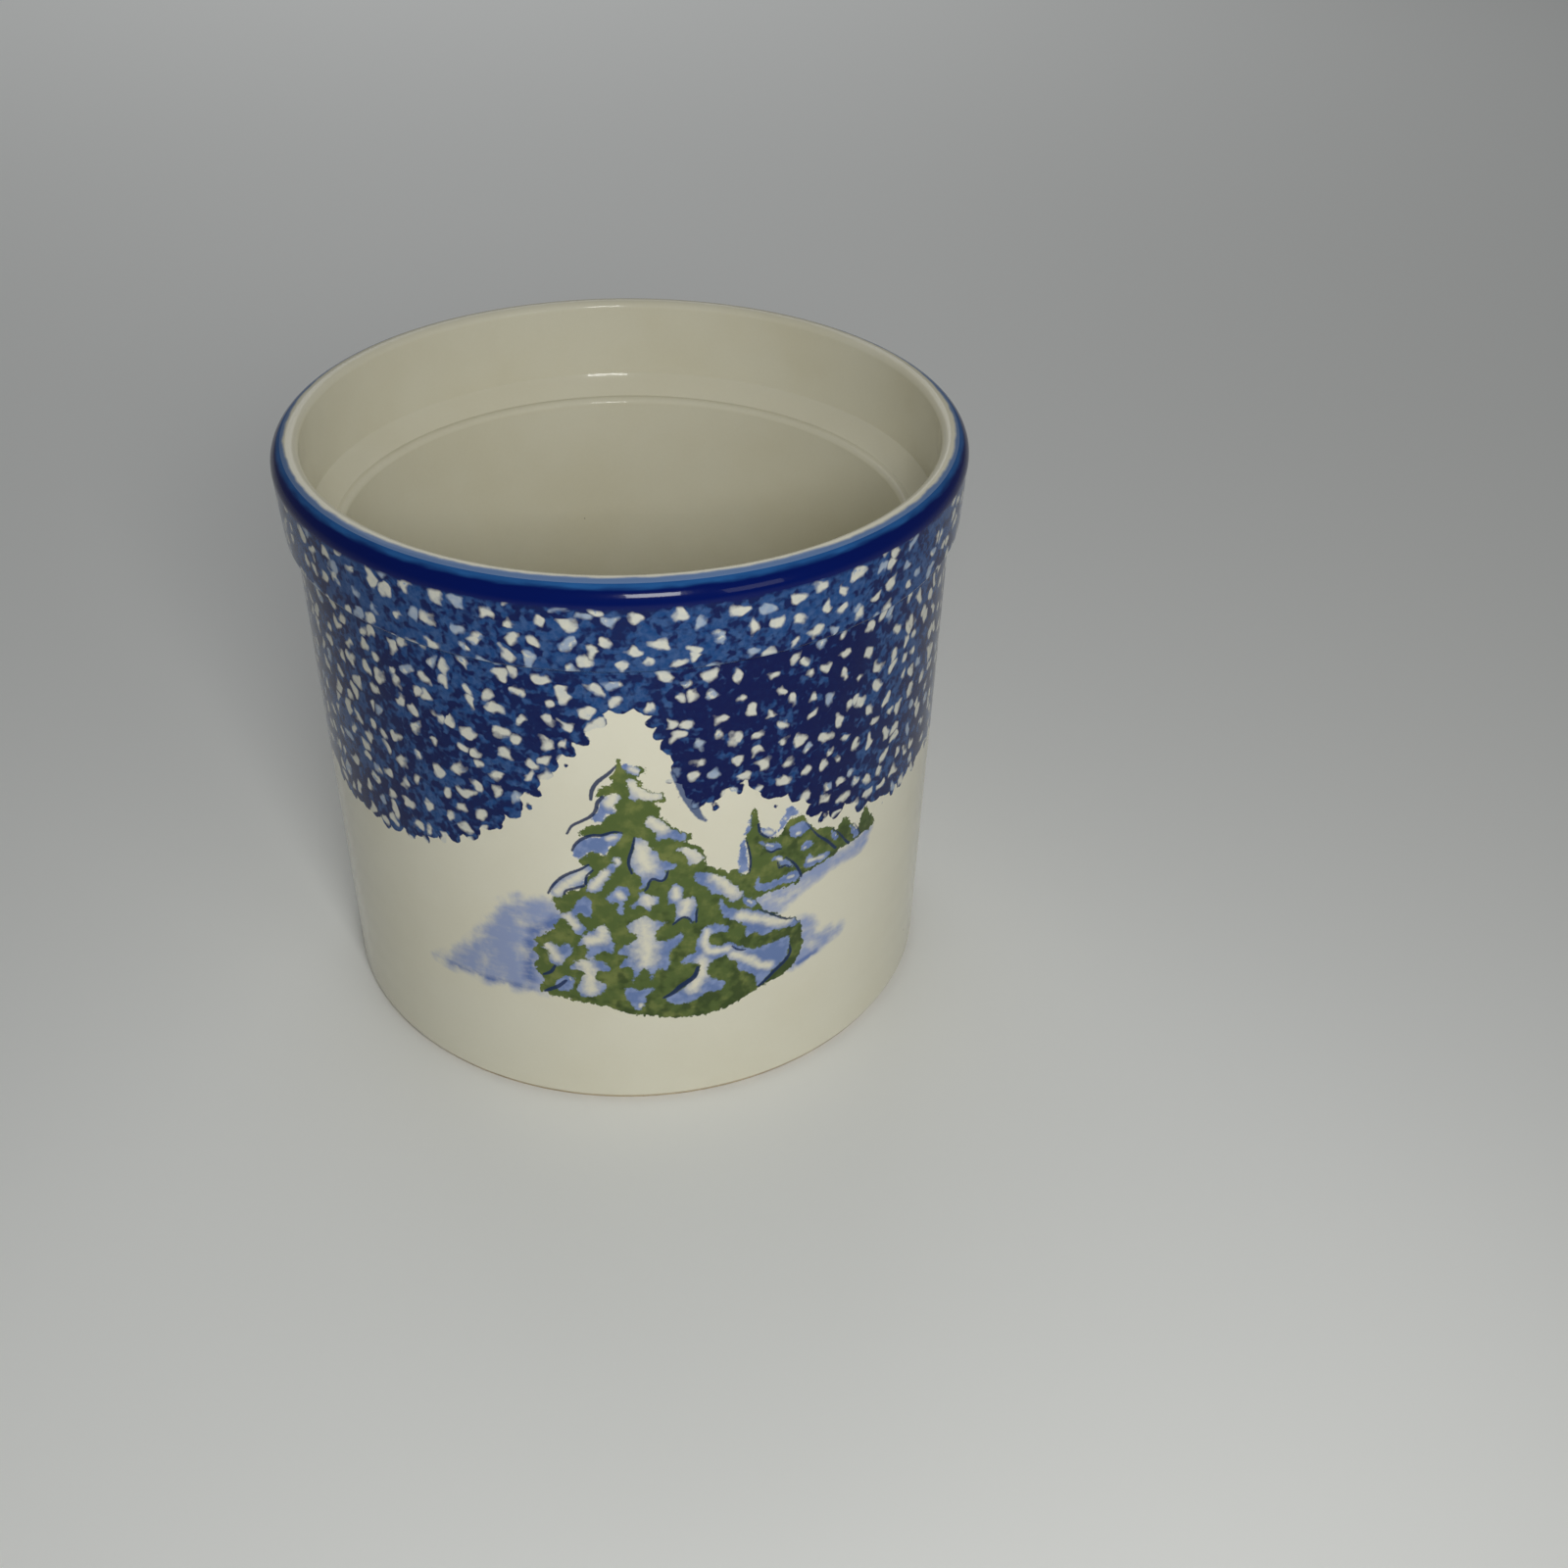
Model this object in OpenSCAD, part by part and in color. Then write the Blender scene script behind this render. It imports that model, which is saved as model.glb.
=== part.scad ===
// Handleless stoneware crock with a thick collar, a stepped mouth and a sponged winter scene.
// +Z is up. The origin is the centre of the foot, on the surface that the crock stands on.
// Surfaces are given as glazed; the clay lies one coat of glaze behind them.

/* [Overall size] */
// Diameter over the collar
collar_d = 101.6; // [85:0.2:122]
// Height from the table to the top of the rim
height = 92.4; // [77:0.2:111]

/* [Collar and rim] */
// Height of the collar, from its lower edge to the top of the rim
collar_h = 13; // [10:0.5:20]
// How far the collar's lower edge stands proud of the wall
collar_step = 1.3; // [1:0.1:3]
// How much the collar leans in between its rim and its lower edge
collar_draft = 0.6; // [0:0.1:1.5]
// Radius of the collar's rounded lower edge
collar_edge_r = 0.8; // [0.5:0.1:1.2]
// Radius of the hollow where the collar meets the wall
collar_root_r = 0.5; // [0.2:0.1:1]
// Thickness of the lip around the mouth
lip_t = 4.1; // [3.4:0.1:6]
// Radius of the outer rounding of the rim
rim_out_r = 2.9; // [2:0.1:2.9]

/* [Wall and floor] */
// Thickness of the wall below the seat
wall_t = 6.4; // [5.5:0.1:9]
// How much the wall leans in between the collar and the foot
wall_draft = 0.9; // [0:0.1:3]
// How much the well narrows from the seat to the floor
well_draft = 0.7; // [0:0.1:3]
// Thickness of the floor, foot included
floor_t = 7; // [5.5:0.1:10]
// Radius of the hollow between the floor and the wall
floor_fillet_r = 6; // [2:0.5:12]

/* [Seat inside the mouth] */
// Depth of the seat under the rim
seat_depth = 15.5; // [12:0.5:24]
// Radius of the hollow between the mouth and the seat
seat_fillet_r = 3.2; // [1:0.1:6]
// Radius of the seat's rounded inner edge
seat_edge_r = 1; // [0.6:0.1:1.5]

/* [Foot] */
// Width of the ring that the crock stands on
foot_w = 7; // [4:0.5:14]
// Radius of the foot's outer edge
foot_edge_r = 0.8; // [0.4:0.1:0.9]
// Depth of the recess under the floor
recess_h = 1.6; // [1:0.1:2.5]
// Height above the table at which the outer glaze ends
dry_h = 1; // [1:0.1:3]

/* [Glaze and colour] */
// Thickness of the glaze and of each coloured coat
glaze_t = 0.3; // [0.2:0.05:0.45]
// Distance from the collar's face in to the edge of the blue rim band
rim_band_w = 1.6; // [0.8:0.1:2.6]
// Depth of the blue rim band under the top of the rim
rim_band_h = 3; // [2.5:0.1:6]
// Distance from the rim down to the lower edge of the sponged band
sponge_drop = 48; // [30:0.5:60]
// Distance from the rim down to the lowest edge of the printed scene
scene_drop = 75.6; // [66:0.2:75.8]

/* [Hidden] */
// Seat and rim
collar_r = collar_d / 2;
collar_low_r = collar_r - collar_draft;
collar_z = height - collar_h;
rim_z = height - rim_out_r;
crest_r = collar_r - rim_out_r;
mouth_r = collar_r - lip_t;
rim_in_r = lip_t - rim_out_r;
root_r = min(collar_root_r, collar_step / 2);
edge_r = min(collar_edge_r, collar_step - root_r);
// Wall and well
wall_r = collar_low_r - collar_step;
foot_r = wall_r - wall_draft;
well_r = wall_r - wall_t;
floor_r = well_r - well_draft;
seat_z = height - seat_depth;
seat_w = mouth_r - well_r;
seat_r = min(seat_fillet_r, seat_w - seat_edge_r);
// Foot
recess_r = foot_r - glaze_t - foot_w;
// Radii inside the clay that part the outer coats from the liner, below and above the seat
core_low_r = (well_r + foot_r) / 2;
core_high_r = (mouth_r + wall_r) / 2;
// Coloured coats
band_z = height - rim_band_h;
sponge_z = height - sponge_drop;
scene_z = height - scene_drop;
// Room that a cut runs past a surface
over = 1;
$fn = 96;

// Gap in the sponged band over the trees, seen from the front: [x, height above the scene's lowest edge]
ARCH = [
    [-30, 26], [-30, 28.5], [-24, 31], [-19, 35], [-15, 41], [-9, 48.5], [-3, 54.5], [1, 54.5],
    [4, 48], [7, 40], [15, 41.5], [23, 36.5], [28, 30], [30, 26],
];
// Outline of the printed scene, seen from the front: [x, height above the scene's lowest edge]
SCENE = [
    [-31.5, 4.5], [-26, 8], [-20, 18], [-16.5, 23], [-12.5, 23.5], [-9.5, 31], [-9, 36.5], [-6, 43],
    [-2.3, 48.2], [1.5, 47], [4, 41], [7.5, 34], [9.5, 29.5], [13.5, 26.5], [15, 31.5], [16.3, 37.5],
    [18.5, 33], [22, 36.2], [26, 30.5], [31, 28.5], [35, 25.5], [34, 21], [23, 17.5], [26, 12],
    [30.5, 8], [30, 5.8], [23, 3.8], [15, 1.2], [8.5, 0], [0, 1.5], [-5, 3.5], [-16, 4.5],
];

// Half-section of all that lies inside the outer surface, drawn back by e
module outside_2d(e) {
    polygon([
        [0, 0], [foot_r - e - foot_edge_r, 0], [foot_r - e, foot_edge_r],
        [wall_r - e, collar_z - root_r], [wall_r - e, collar_z + edge_r], [0, collar_z + edge_r],
    ]);
    translate([foot_r - e - foot_edge_r, foot_edge_r]) circle(foot_edge_r);
    polygon([
        [0, collar_z + e], [collar_low_r - edge_r, collar_z + e], [collar_low_r - e, collar_z + edge_r],
        [collar_r - e, rim_z], [crest_r, height - e], [0, height - e],
    ]);
    translate([collar_low_r - edge_r, collar_z + edge_r]) circle(edge_r - e);
    translate([crest_r, rim_z]) circle(rim_out_r - e);
    difference() {
        translate([wall_r - e - over, collar_z - root_r]) square([root_r + e + over, root_r + e]);
        translate([wall_r + root_r, collar_z - root_r]) circle(root_r + e);
    }
}

// Half-section of the cavity, drawn out by e into the clay
module cavity_2d(e) {
    // The well
    polygon([
        [0, floor_t - e], [floor_r - floor_fillet_r, floor_t - e], [floor_r + e, floor_t + floor_fillet_r],
        [well_r + e, seat_z - seat_edge_r], [well_r + e, seat_z], [0, seat_z],
    ]);
    translate([floor_r - floor_fillet_r, floor_t + floor_fillet_r]) circle(floor_fillet_r + e);
    difference() {
        translate([well_r - over, seat_z - seat_edge_r]) square([seat_edge_r + over, seat_edge_r - e]);
        translate([well_r + seat_edge_r, seat_z - seat_edge_r]) circle(seat_edge_r - e);
    }
    // The wider mouth above the seat
    polygon([
        [0, seat_z - e], [mouth_r - seat_r, seat_z - e], [mouth_r + e, seat_z + seat_r],
        [mouth_r + e, height + over], [0, height + over],
    ]);
    translate([mouth_r - seat_r, seat_z + seat_r]) circle(seat_r + e);
    difference() {
        translate([mouth_r - over, height - rim_in_r]) square([rim_in_r + over, rim_in_r + over]);
        translate([crest_r, height - rim_in_r]) circle(rim_in_r - e);
    }
}

// Half-section of the pot, drawn back by e on every glazed surface
module pot_2d(e) {
    difference() {
        outside_2d(e);
        cavity_2d(e);
    }
}

// Half-section of the recess under the floor, inside the foot ring
module recess_2d() {
    polygon([
        [0, -over], [recess_r + over / 2, -over], [recess_r - recess_h / 2, recess_h], [0, recess_h],
    ]);
}

// Everything on the cavity's side of the line where the liner meets the outer coats
module liner_side_2d() {
    polygon([
        [0, 0], [core_low_r, 0], [core_low_r, seat_z - seat_edge_r], [core_high_r, seat_z - seat_edge_r],
        [core_high_r, rim_z], [collar_r - rim_band_w, rim_z], [collar_r - rim_band_w, height + over],
        [0, height + over],
    ]);
}

// Half-section of the coat over the outside, from the foot to the blue rim band's inner edge
module outer_coat_2d() {
    difference() {
        pot_2d(0);
        pot_2d(glaze_t);
        liner_side_2d();
        square([collar_r, dry_h]);
    }
}

// A full ring of the outer coat between two heights
module coat_ring(low, high) {
    rotate_extrude() intersection() {
        outer_coat_2d();
        translate([0, low]) square([collar_r + over, high - low]);
    }
}

// A straight cut through the front of the crock, from an outline seen from the front
module front_cut(outline) {
    translate([0, 0, scene_z]) rotate([90, 0, 0]) linear_extrude(collar_r + over) polygon(outline);
}

// Fired clay: foot ring, floor, wall, seat, collar and lip
module stoneware_body() {
    color("burlywood") rotate_extrude() difference() {
        pot_2d(glaze_t);
        recess_2d();
    }
}

// Ivory glaze over the floor, the well, the seat and the mouth, up over the crest of the rim
module liner_glaze() {
    color("ivory") rotate_extrude() intersection() {
        difference() {
            pot_2d(0);
            pot_2d(glaze_t);
        }
        liner_side_2d();
    }
}

// Ivory glaze on the lower wall and around the trees
module outer_glaze() {
    color("linen") difference() {
        union() {
            coat_ring(dry_h, sponge_z);
            intersection() {
                coat_ring(sponge_z, band_z);
                front_cut(ARCH);
            }
        }
        front_cut(SCENE);
    }
}

// Cobalt band over the outer shoulder of the rim
module rim_band() {
    color("navy") coat_ring(band_z, height);
}

// Sponged blue band around the collar and the upper wall, open over the trees
module sponge_band() {
    color("steelblue") difference() {
        coat_ring(sponge_z, band_z);
        front_cut(ARCH);
        front_cut(SCENE);
    }
}

// Printed winter scene of snowy pines on the front of the wall
module pine_scene() {
    color("olivedrab") intersection() {
        coat_ring(dry_h, band_z);
        front_cut(SCENE);
    }
}

// Glaze on the recess under the floor
module base_glaze() {
    color("antiquewhite") rotate_extrude() intersection() {
        recess_2d();
        translate([0, recess_h - glaze_t]) square([recess_r, glaze_t]);
    }
}

stoneware_body();
liner_glaze();
outer_glaze();
rim_band();
sponge_band();
pine_scene();
base_glaze();
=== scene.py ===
"""Looks of a handleless stoneware crock: clay, ivory glaze, a cobalt rim, sponged blue and a printed pine."""

import math
from types import SimpleNamespace

import bpy
import numpy as np
from bpy.props import FloatProperty, FloatVectorProperty, PointerProperty
from bpy.types import Operator, Panel, PropertyGroup
from mathutils import Matrix, Vector


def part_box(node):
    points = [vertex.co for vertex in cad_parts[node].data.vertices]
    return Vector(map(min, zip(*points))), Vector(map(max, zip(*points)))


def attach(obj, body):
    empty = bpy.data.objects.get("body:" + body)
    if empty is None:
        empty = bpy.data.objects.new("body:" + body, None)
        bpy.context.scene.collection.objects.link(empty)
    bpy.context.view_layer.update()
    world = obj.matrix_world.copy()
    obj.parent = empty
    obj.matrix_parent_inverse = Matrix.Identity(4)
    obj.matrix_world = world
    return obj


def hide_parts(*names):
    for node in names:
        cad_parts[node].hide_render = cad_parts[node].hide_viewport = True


bl_info = {
    "name": "Sponged Stoneware Crock",
    "version": (1, 0, 0),
    "blender": (4, 5, 0),
    "location": "3D View > Sidebar > Crock",
    "description": "Builds the glazed, sponged and printed surfaces of a stoneware crock on its CAD model",
    "category": "Object",
}

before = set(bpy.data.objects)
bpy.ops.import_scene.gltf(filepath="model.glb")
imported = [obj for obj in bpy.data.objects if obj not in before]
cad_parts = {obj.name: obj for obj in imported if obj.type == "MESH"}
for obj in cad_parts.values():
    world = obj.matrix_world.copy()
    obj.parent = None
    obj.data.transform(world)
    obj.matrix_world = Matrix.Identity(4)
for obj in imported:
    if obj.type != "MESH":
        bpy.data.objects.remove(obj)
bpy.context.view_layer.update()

MM = 0.001
BODY = "root"
TURN = 2 * math.pi


def node_box(node):
    """Lowest and highest corner of a CAD node, in millimetres."""
    low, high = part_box(node)
    return np.array(low) / MM, np.array(high) / MM


LINER_HIGH = node_box("liner_glaze")[1]
RIM_LOW, RIM_HIGH = node_box("rim_band")
SPONGE_LOW = node_box("sponge_band")[0]
PINE_LOW = node_box("pine_scene")[0]
WALL_LOW = node_box("outer_glaze")[0]
BASE_LOW, BASE_HIGH = node_box("base_glaze")


# ---------------------------------------------------------------------------------------------
# Settings
# ---------------------------------------------------------------------------------------------


def length(name, description, millimetres):
    """A length setting, given in millimetres and kept in metres."""
    return FloatProperty(
        name=name,
        description=description,
        default=float(millimetres) * MM,
        min=0.0,
        unit="LENGTH",
        precision=5,
    )


def amount(name, description, default, high=1.0):
    """A plain number from 0 to high."""
    return FloatProperty(name=name, description=description, default=default, min=0.0, max=high)


def power(name, description, watts):
    """A light's power setting, in watts."""
    return FloatProperty(name=name, description=description, default=watts, unit="POWER")


def angle(name, description, degrees):
    """An angle setting, given in degrees."""
    return FloatProperty(name=name, description=description, default=math.radians(degrees), subtype="ANGLE")


def linear(swatch):
    """The scene-linear colour of a swatch written as RRGGBB."""
    parts = np.array([int(swatch[i : i + 2], 16) for i in (0, 2, 4)]) / 255
    return tuple(np.where(parts <= 0.04045, parts / 12.92, ((parts + 0.055) / 1.055) ** 2.4))


def colour(name, description, swatch):
    """A colour setting, given as an RRGGBB swatch."""
    return FloatVectorProperty(
        name=name, description=description, default=linear(swatch), min=0.0, max=1.0, subtype="COLOR"
    )


class CrockSizes(PropertyGroup):
    """Sizes of the glazed crock; those that the CAD nodes show come from their boxes."""

    collar_radius: length("Collar radius", "Radius of the collar at the rim", RIM_HIGH[0])
    height: length("Height", "Height of the top of the rim", LINER_HIGH[2])
    collar_height: length("Collar height", "Height of the collar up to the top of the rim", 13)
    collar_step: length("Collar step", "How far the collar stands proud of the wall", 1.3)
    collar_draft: length("Collar draft", "How much the collar leans in towards its lower edge", 0.6)
    collar_edge: length("Collar edge", "Rounding of the collar's lower edge", 0.8)
    collar_root: length("Collar root", "Hollow where the collar meets the wall", 0.5)
    lip: length("Lip", "Thickness of the lip around the mouth", 4.1)
    rim_round: length("Rim rounding", "Outer rounding of the rim", 2.9)
    wall: length("Wall", "Thickness of the wall under the seat", 6.4)
    wall_draft: length("Wall draft", "How much the wall leans in towards the foot", 0.9)
    well_draft: length("Well draft", "How much the well narrows towards the floor", 0.7)
    floor: length("Floor", "Height of the glazed floor over the table", 7)
    floor_hollow: length("Floor hollow", "Hollow between the floor and the wall", 6)
    seat_depth: length("Seat depth", "Depth of the inner seat under the rim", 15.5)
    seat_hollow: length("Seat hollow", "Hollow between the mouth and the seat", 3.2)
    seat_edge: length("Seat edge", "Rounding of the seat's inner edge", 1)
    foot_edge: length("Foot edge", "Rounding of the foot's outer edge", 0.8)
    foot_inner: length("Foot inner edge", "Rounding of the foot's inner edge", 0.5)
    recess: length("Recess", "Height of the clay ceiling of the recess under the floor", BASE_HIGH[2])
    recess_radius: length("Recess radius", "Radius of the glaze in the recess", BASE_HIGH[0])
    glaze: length("Glaze", "Thickness of the glaze", BASE_HIGH[2] - BASE_LOW[2])
    dry: length("Dry foot", "Height at which the outer glaze ends", WALL_LOW[2])
    band_edge: length("Band edge", "Radius at which the blue rim band starts on the crest", LINER_HIGH[0])
    band_low: length("Band low edge", "Height of the blue rim band's lower edge", RIM_LOW[2])
    ripple: length("Ripple", "Height of the faint turning marks in the wall", 0.012)
    wander: length("Out of round", "How far the pot is from a true circle", 0.12)


class CrockPalette(PropertyGroup):
    """Colours of the clay, glazes and printed layers."""

    clay: colour("Clay", "Bare fired clay", "D6C8AC")
    clay_dark: colour("Clay shade", "Darker grog and kiln wear on bare clay", "8F795A")
    ivory: colour("Ivory", "Ivory glaze", "E9E6D3")
    # Warm ivory also tints the glaze's clouds, and its larger share over the liner is painted shade.
    ivory_warm: colour("Warm ivory", "Ivory glaze where it runs thin or pools", "DAD3B6")
    speck: colour("Speck", "Dark specks under the glaze", "6E5A3E")
    cobalt: colour("Cobalt", "Cobalt band on the rim", "01145A")
    cobalt_thin: colour("Thin cobalt", "Cobalt where the glaze runs thin over the crest", "2C66A6")
    sponge: colour("Sponge blue", "One dab of sponged blue", "0E4380")
    sponge_dark: colour("Deep sponge", "Sponged blue where dabs overlap", "01124F")
    sponge_pale: colour("Pale sponge", "Thin sponged blue that fills a gap", "86A0C4")
    wash: colour("Wash", "Blue shadow on the snow around the trees", "97A5CB")
    wash_deep: colour("Deep wash", "Blue shadow by the trunk", "6079B4")
    bough: colour("Bough", "Green of the boughs", "586A36")
    bough_light: colour("Light bough", "Lighter green of the boughs", "7A8448")
    bough_dark: colour("Dark bough", "Darker green of the boughs", "3B4C26")
    snow_blue: colour("Snow shadow", "Blue shadow in the snow on the boughs", "8B9DC7")
    snow_deep: colour("Deep snow shadow", "Deepest blue in the snow on the boughs", "5C76AC")
    ink: colour("Ink", "Dark brush lines along the boughs", "152C58")


class CrockStage(PropertyGroup):
    """The floor, the lights and the camera."""

    floor_size: length("Floor size", "Radius of the pale floor", 4000)
    floor_tone: colour("Floor", "Colour of the pale floor", "F6F7F4")
    world_tone: colour("Surroundings", "Colour of the light from all round", "E9EBEC")
    world_power: amount("Surroundings power", "Strength of the light from all round", 0.15, 10.0)
    key_power: power("Key power", "Power of the key light", 0.15)
    fill_power: power("Fill power", "Power of the front light", 0.35)
    back_power: power("Back power", "Power of the back light", 2.6)
    camera_pitch: angle("Camera pitch", "How far the camera looks down", 35.80)
    camera_yaw: angle("Camera yaw", "How far the camera looks to the right", 6.01)
    camera_roll: angle("Camera roll", "How far the camera leans", -1.63)
    camera_back: length("Camera distance", "Distance of the camera in front of the crock", 238.4)
    camera_height: length("Camera height", "Height of the camera over the table", 197.8)
    lens: FloatProperty(name="Lens", description="Focal length in millimetres", default=39.76, min=1.0)


def measures(context):
    """The size settings, in millimetres."""
    sizes = context.scene.crock_sizes
    names = CrockSizes.__annotations__
    return SimpleNamespace(**{name: getattr(sizes, name) / MM for name in names})


# ---------------------------------------------------------------------------------------------
# Shapes: a half-section of lines and arcs, turned round the axis
# ---------------------------------------------------------------------------------------------


def rounded_path(corners, step, arc_step=0.22):
    """Rows [r, z, dr, dz] along the line through the corners [r, z, radius].

    Every corner is cut by an arc of its radius that touches both of its lines. The arc's centre lies
    on the corner's bisector and it starts radius * tan(turn / 2) before the corner. [dr, dz] is the
    direction of travel. step and arc_step are the spacing of the rows on lines and on arcs.
    """
    points = np.array([corner[:2] for corner in corners], float)
    rows = []
    here = points[0]
    for i in range(1, len(points)):
        ahead = points[i] - points[i - 1]
        ahead /= np.hypot(*ahead)
        radius = corners[i][2] if i < len(points) - 1 else 0
        reach = 0.0
        if radius:
            after = points[i + 1] - points[i]
            after /= np.hypot(*after)
            turn = math.atan2(ahead[0] * after[1] - ahead[1] * after[0], ahead @ after)
            reach = radius * math.tan(abs(turn) / 2)
        stop = points[i] - ahead * reach
        span = np.hypot(*(stop - here))
        if span > 1e-6:
            count = max(1, round(span / step))
            share = np.linspace(0, 1, count + 1)[: count if radius else count + 1, None]
            rows.append(np.hstack([here + share * (stop - here), np.tile(ahead, (len(share), 1))]))
        here = stop
        if radius:
            count = max(2, math.ceil(radius * abs(turn) / arc_step))
            bends = np.linspace(0, turn, count + 1)[:-1]
            side = np.array([-ahead[1], ahead[0]]) * math.copysign(1, turn)
            centre = stop + side * radius
            cosine = np.cos(bends)
            sine = np.sin(np.abs(bends))
            ways = np.outer(cosine, ahead) + np.outer(sine, side)
            spots = centre - np.outer(cosine, side) * radius + np.outer(sine, ahead) * radius
            rows.append(np.hstack([spots, ways]))
            here = points[i] + after * reach
    return np.vstack(rows)


def graded(stops, steps):
    """Values from the first stop to the last, with a spacing of its own between each two stops."""
    parts = [
        np.linspace(low, high, max(1, round((high - low) / step)), endpoint=False)
        for low, high, step in zip(stops, stops[1:], steps)
    ]
    return np.concatenate([*parts, stops[-1:]])


def out_of_true(m, theta, z):
    """Radial error in millimetres: an oval and a three-lobed warp that grow with height, and faint rings.

    wander * h * (0.6 cos(2 theta + 0.7) + 0.4 sin(3 theta + 1.9)) + ripple * sin(z / 2.1 + 0.8 sin(theta))
    """
    h = z / m.height
    oval = 0.6 * np.cos(2 * theta + 0.7) + 0.4 * np.sin(3 * theta + 1.9)
    rings = 0.6 * np.sin(z / 2.1 + 0.8 * np.sin(theta)) + 0.4 * np.sin(z / 0.83 + 1.3 * np.cos(2 * theta))
    return m.wander * h * oval + m.ripple * rings


def turned_surface(m, rows, angles):
    """Points and normals of the rows [r, z, dr, dz] turned through the angles, as [row, angle, xyz].

    x = R sin(theta), y = -R cos(theta), with R = r + error(theta, z), so theta = 0 faces -Y. The normal
    is the cross product of the ways along theta and along the row, with the error's own slopes in it.
    """
    r, z, dr, dz = (rows[:, i, None] for i in range(4))
    theta = angles[None, :]
    tiny = 1e-4
    near_axis = np.clip(r / 12, 0, 1)
    error = out_of_true(m, theta, z) * near_axis
    slope_theta = (out_of_true(m, theta + tiny, z) - out_of_true(m, theta - tiny, z)) / (2 * tiny) * near_axis
    slope_z = (out_of_true(m, theta, z + tiny) - out_of_true(m, theta, z - tiny)) / (2 * tiny) * near_axis
    radius = r + error
    sine = np.sin(theta)
    cosine = np.cos(theta)
    points = np.stack([radius * sine, -radius * cosine, z + 0 * theta], -1)
    along = dr + slope_z * dz
    lean = slope_theta * dz / np.maximum(radius, 1)
    normals = np.stack([dz * sine - lean * cosine, -dz * cosine - lean * sine, -along + 0 * theta], -1)
    normals /= np.linalg.norm(normals, axis=-1, keepdims=True)
    return points, normals


def turned_shell(m, name, front, back, angles, ring, fold=1, layers=None):
    """A closed shell whose section runs along the front rows, then back along the back rows.

    Quads join each row to the next round the section, a row on the axis is one point with triangles,
    and an open sector is closed by one flat face at each end. The front carries the exact normals,
    the layers' point attributes [row, angle] and a bake map of `fold` strips that fills most of the
    square; the hidden faces share a thin strip of the map.
    """
    rows = np.vstack([front, np.hstack([back, np.zeros_like(back)])]) if len(back) else front
    points, normals = turned_surface(m, rows, angles)
    on_axis = rows[:, 0] < 1e-6
    widths = np.where(on_axis, 1, len(angles))
    starts = np.concatenate([[0], np.cumsum(widths)])
    keep = np.arange(len(angles))[None, :] < widths[:, None]
    following = np.roll(np.arange(len(rows)), -1)
    columns = len(angles) if ring else len(angles) - 1
    j = np.arange(columns)
    k = (j + 1) % len(angles)
    travel = np.concatenate([[0], np.cumsum(np.hypot(*np.diff(front[:, :2], axis=0).T))])
    travel /= travel[-1]
    around = np.append(angles, angles[0] + TURN) if ring else angles
    around = (around - around[0]) / (around[-1] - around[0])
    strip = np.minimum((around[:-1] * fold + 1e-9).astype(int), fold - 1)
    hidden_v = 0.02
    margin = 0.004

    def spots(i, t, front_face):
        """Bake-map places of a row's point before and after each column."""
        if not front_face:
            share = max(0, i - len(front)) / max(1, len(rows) - len(front))
            v = np.full(columns, share * (hidden_v - margin))
            return np.stack([around[:-1] if t == 0 else around[1:], v], -1)
        u = (around[:-1] if t == 0 else around[1:]) * fold - strip
        height = (1 - hidden_v) / fold
        v = hidden_v + height * (strip + margin + (1 - 2 * margin) * travel[i])
        return np.stack([u, v], -1)

    faces = []
    places = []
    front_faces = 0
    for i, after in enumerate(following):
        front_face = i < len(front) - 1
        if on_axis[i] and on_axis[after]:
            continue
        lower = [starts[i] + (0 * j if on_axis[i] else t) for t in (j, k)]
        upper = [starts[after] + (0 * j if on_axis[after] else t) for t in (j, k)]
        last = after if front_face else i + 1
        corners = [(lower[0], spots(i, 0, front_face)), (lower[1], spots(i, 1, front_face))]
        if on_axis[i]:
            corners = corners[:1]
        corners.append((upper[1], spots(last, 1, front_face)))
        if not on_axis[after]:
            corners.append((upper[0], spots(last, 0, front_face)))
        faces += np.stack([c[0] for c in corners], -1).tolist()
        places.append(np.stack([c[1] for c in corners], 1).reshape(-1, 2))
        front_faces += columns * front_face
    if not ring:
        first = starts[:-1]
        faces.append(first.tolist())
        faces.append((first + len(angles) - 1)[::-1].tolist())
        places.append(np.tile([[0.5, margin / 2]], (2 * len(first), 1)))
    mesh = bpy.data.meshes.new(name)
    mesh.from_pydata((points[keep] * MM).tolist(), [], faces)
    mesh.polygons.foreach_set("use_smooth", np.ones(len(faces), bool))
    bake_map = mesh.uv_layers.new(name="OFBake")
    bake_map.data.foreach_set("uv", np.vstack(places).astype(np.float32).ravel())
    for layer, values in (layers or {}).items():
        padded = np.zeros(points.shape[:2])
        padded[: len(front)] = values
        attribute = mesh.attributes.new(layer, "FLOAT", "POINT")
        attribute.data.foreach_set("value", padded[keep].astype(np.float32))
    loops = np.zeros(len(mesh.loops), int)
    mesh.loops.foreach_get("vertex_index", loops)
    sizes = np.zeros(len(mesh.polygons), int)
    mesh.polygons.foreach_get("loop_total", sizes)
    custom = normals[keep][loops]
    custom[sizes[:front_faces].sum() :] = 0
    mesh.update()
    mesh.normals_split_custom_set(custom.tolist())
    piece = bpy.data.objects.new(name, mesh)
    bpy.context.scene.collection.objects.link(piece)
    return piece


def finish_piece(piece, material, slot, *nodes):
    """Gives a piece its material and puts it in place of its CAD nodes. The slot is not used."""
    piece.data.materials.append(material)
    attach(piece, BODY)
    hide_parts(*nodes)


# ---------------------------------------------------------------------------------------------
# Layers of the decoration, as distances in millimetres on the wall: [arc from the front, height]
# ---------------------------------------------------------------------------------------------

# Radius at which arcs round the wall are measured, and the lowest heights of the scene and sponge as drawn
ARC_R = 48.5
DRAWN_LOW = 16.8
SPONGE_DRAWN_LOW = 44.4

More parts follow.
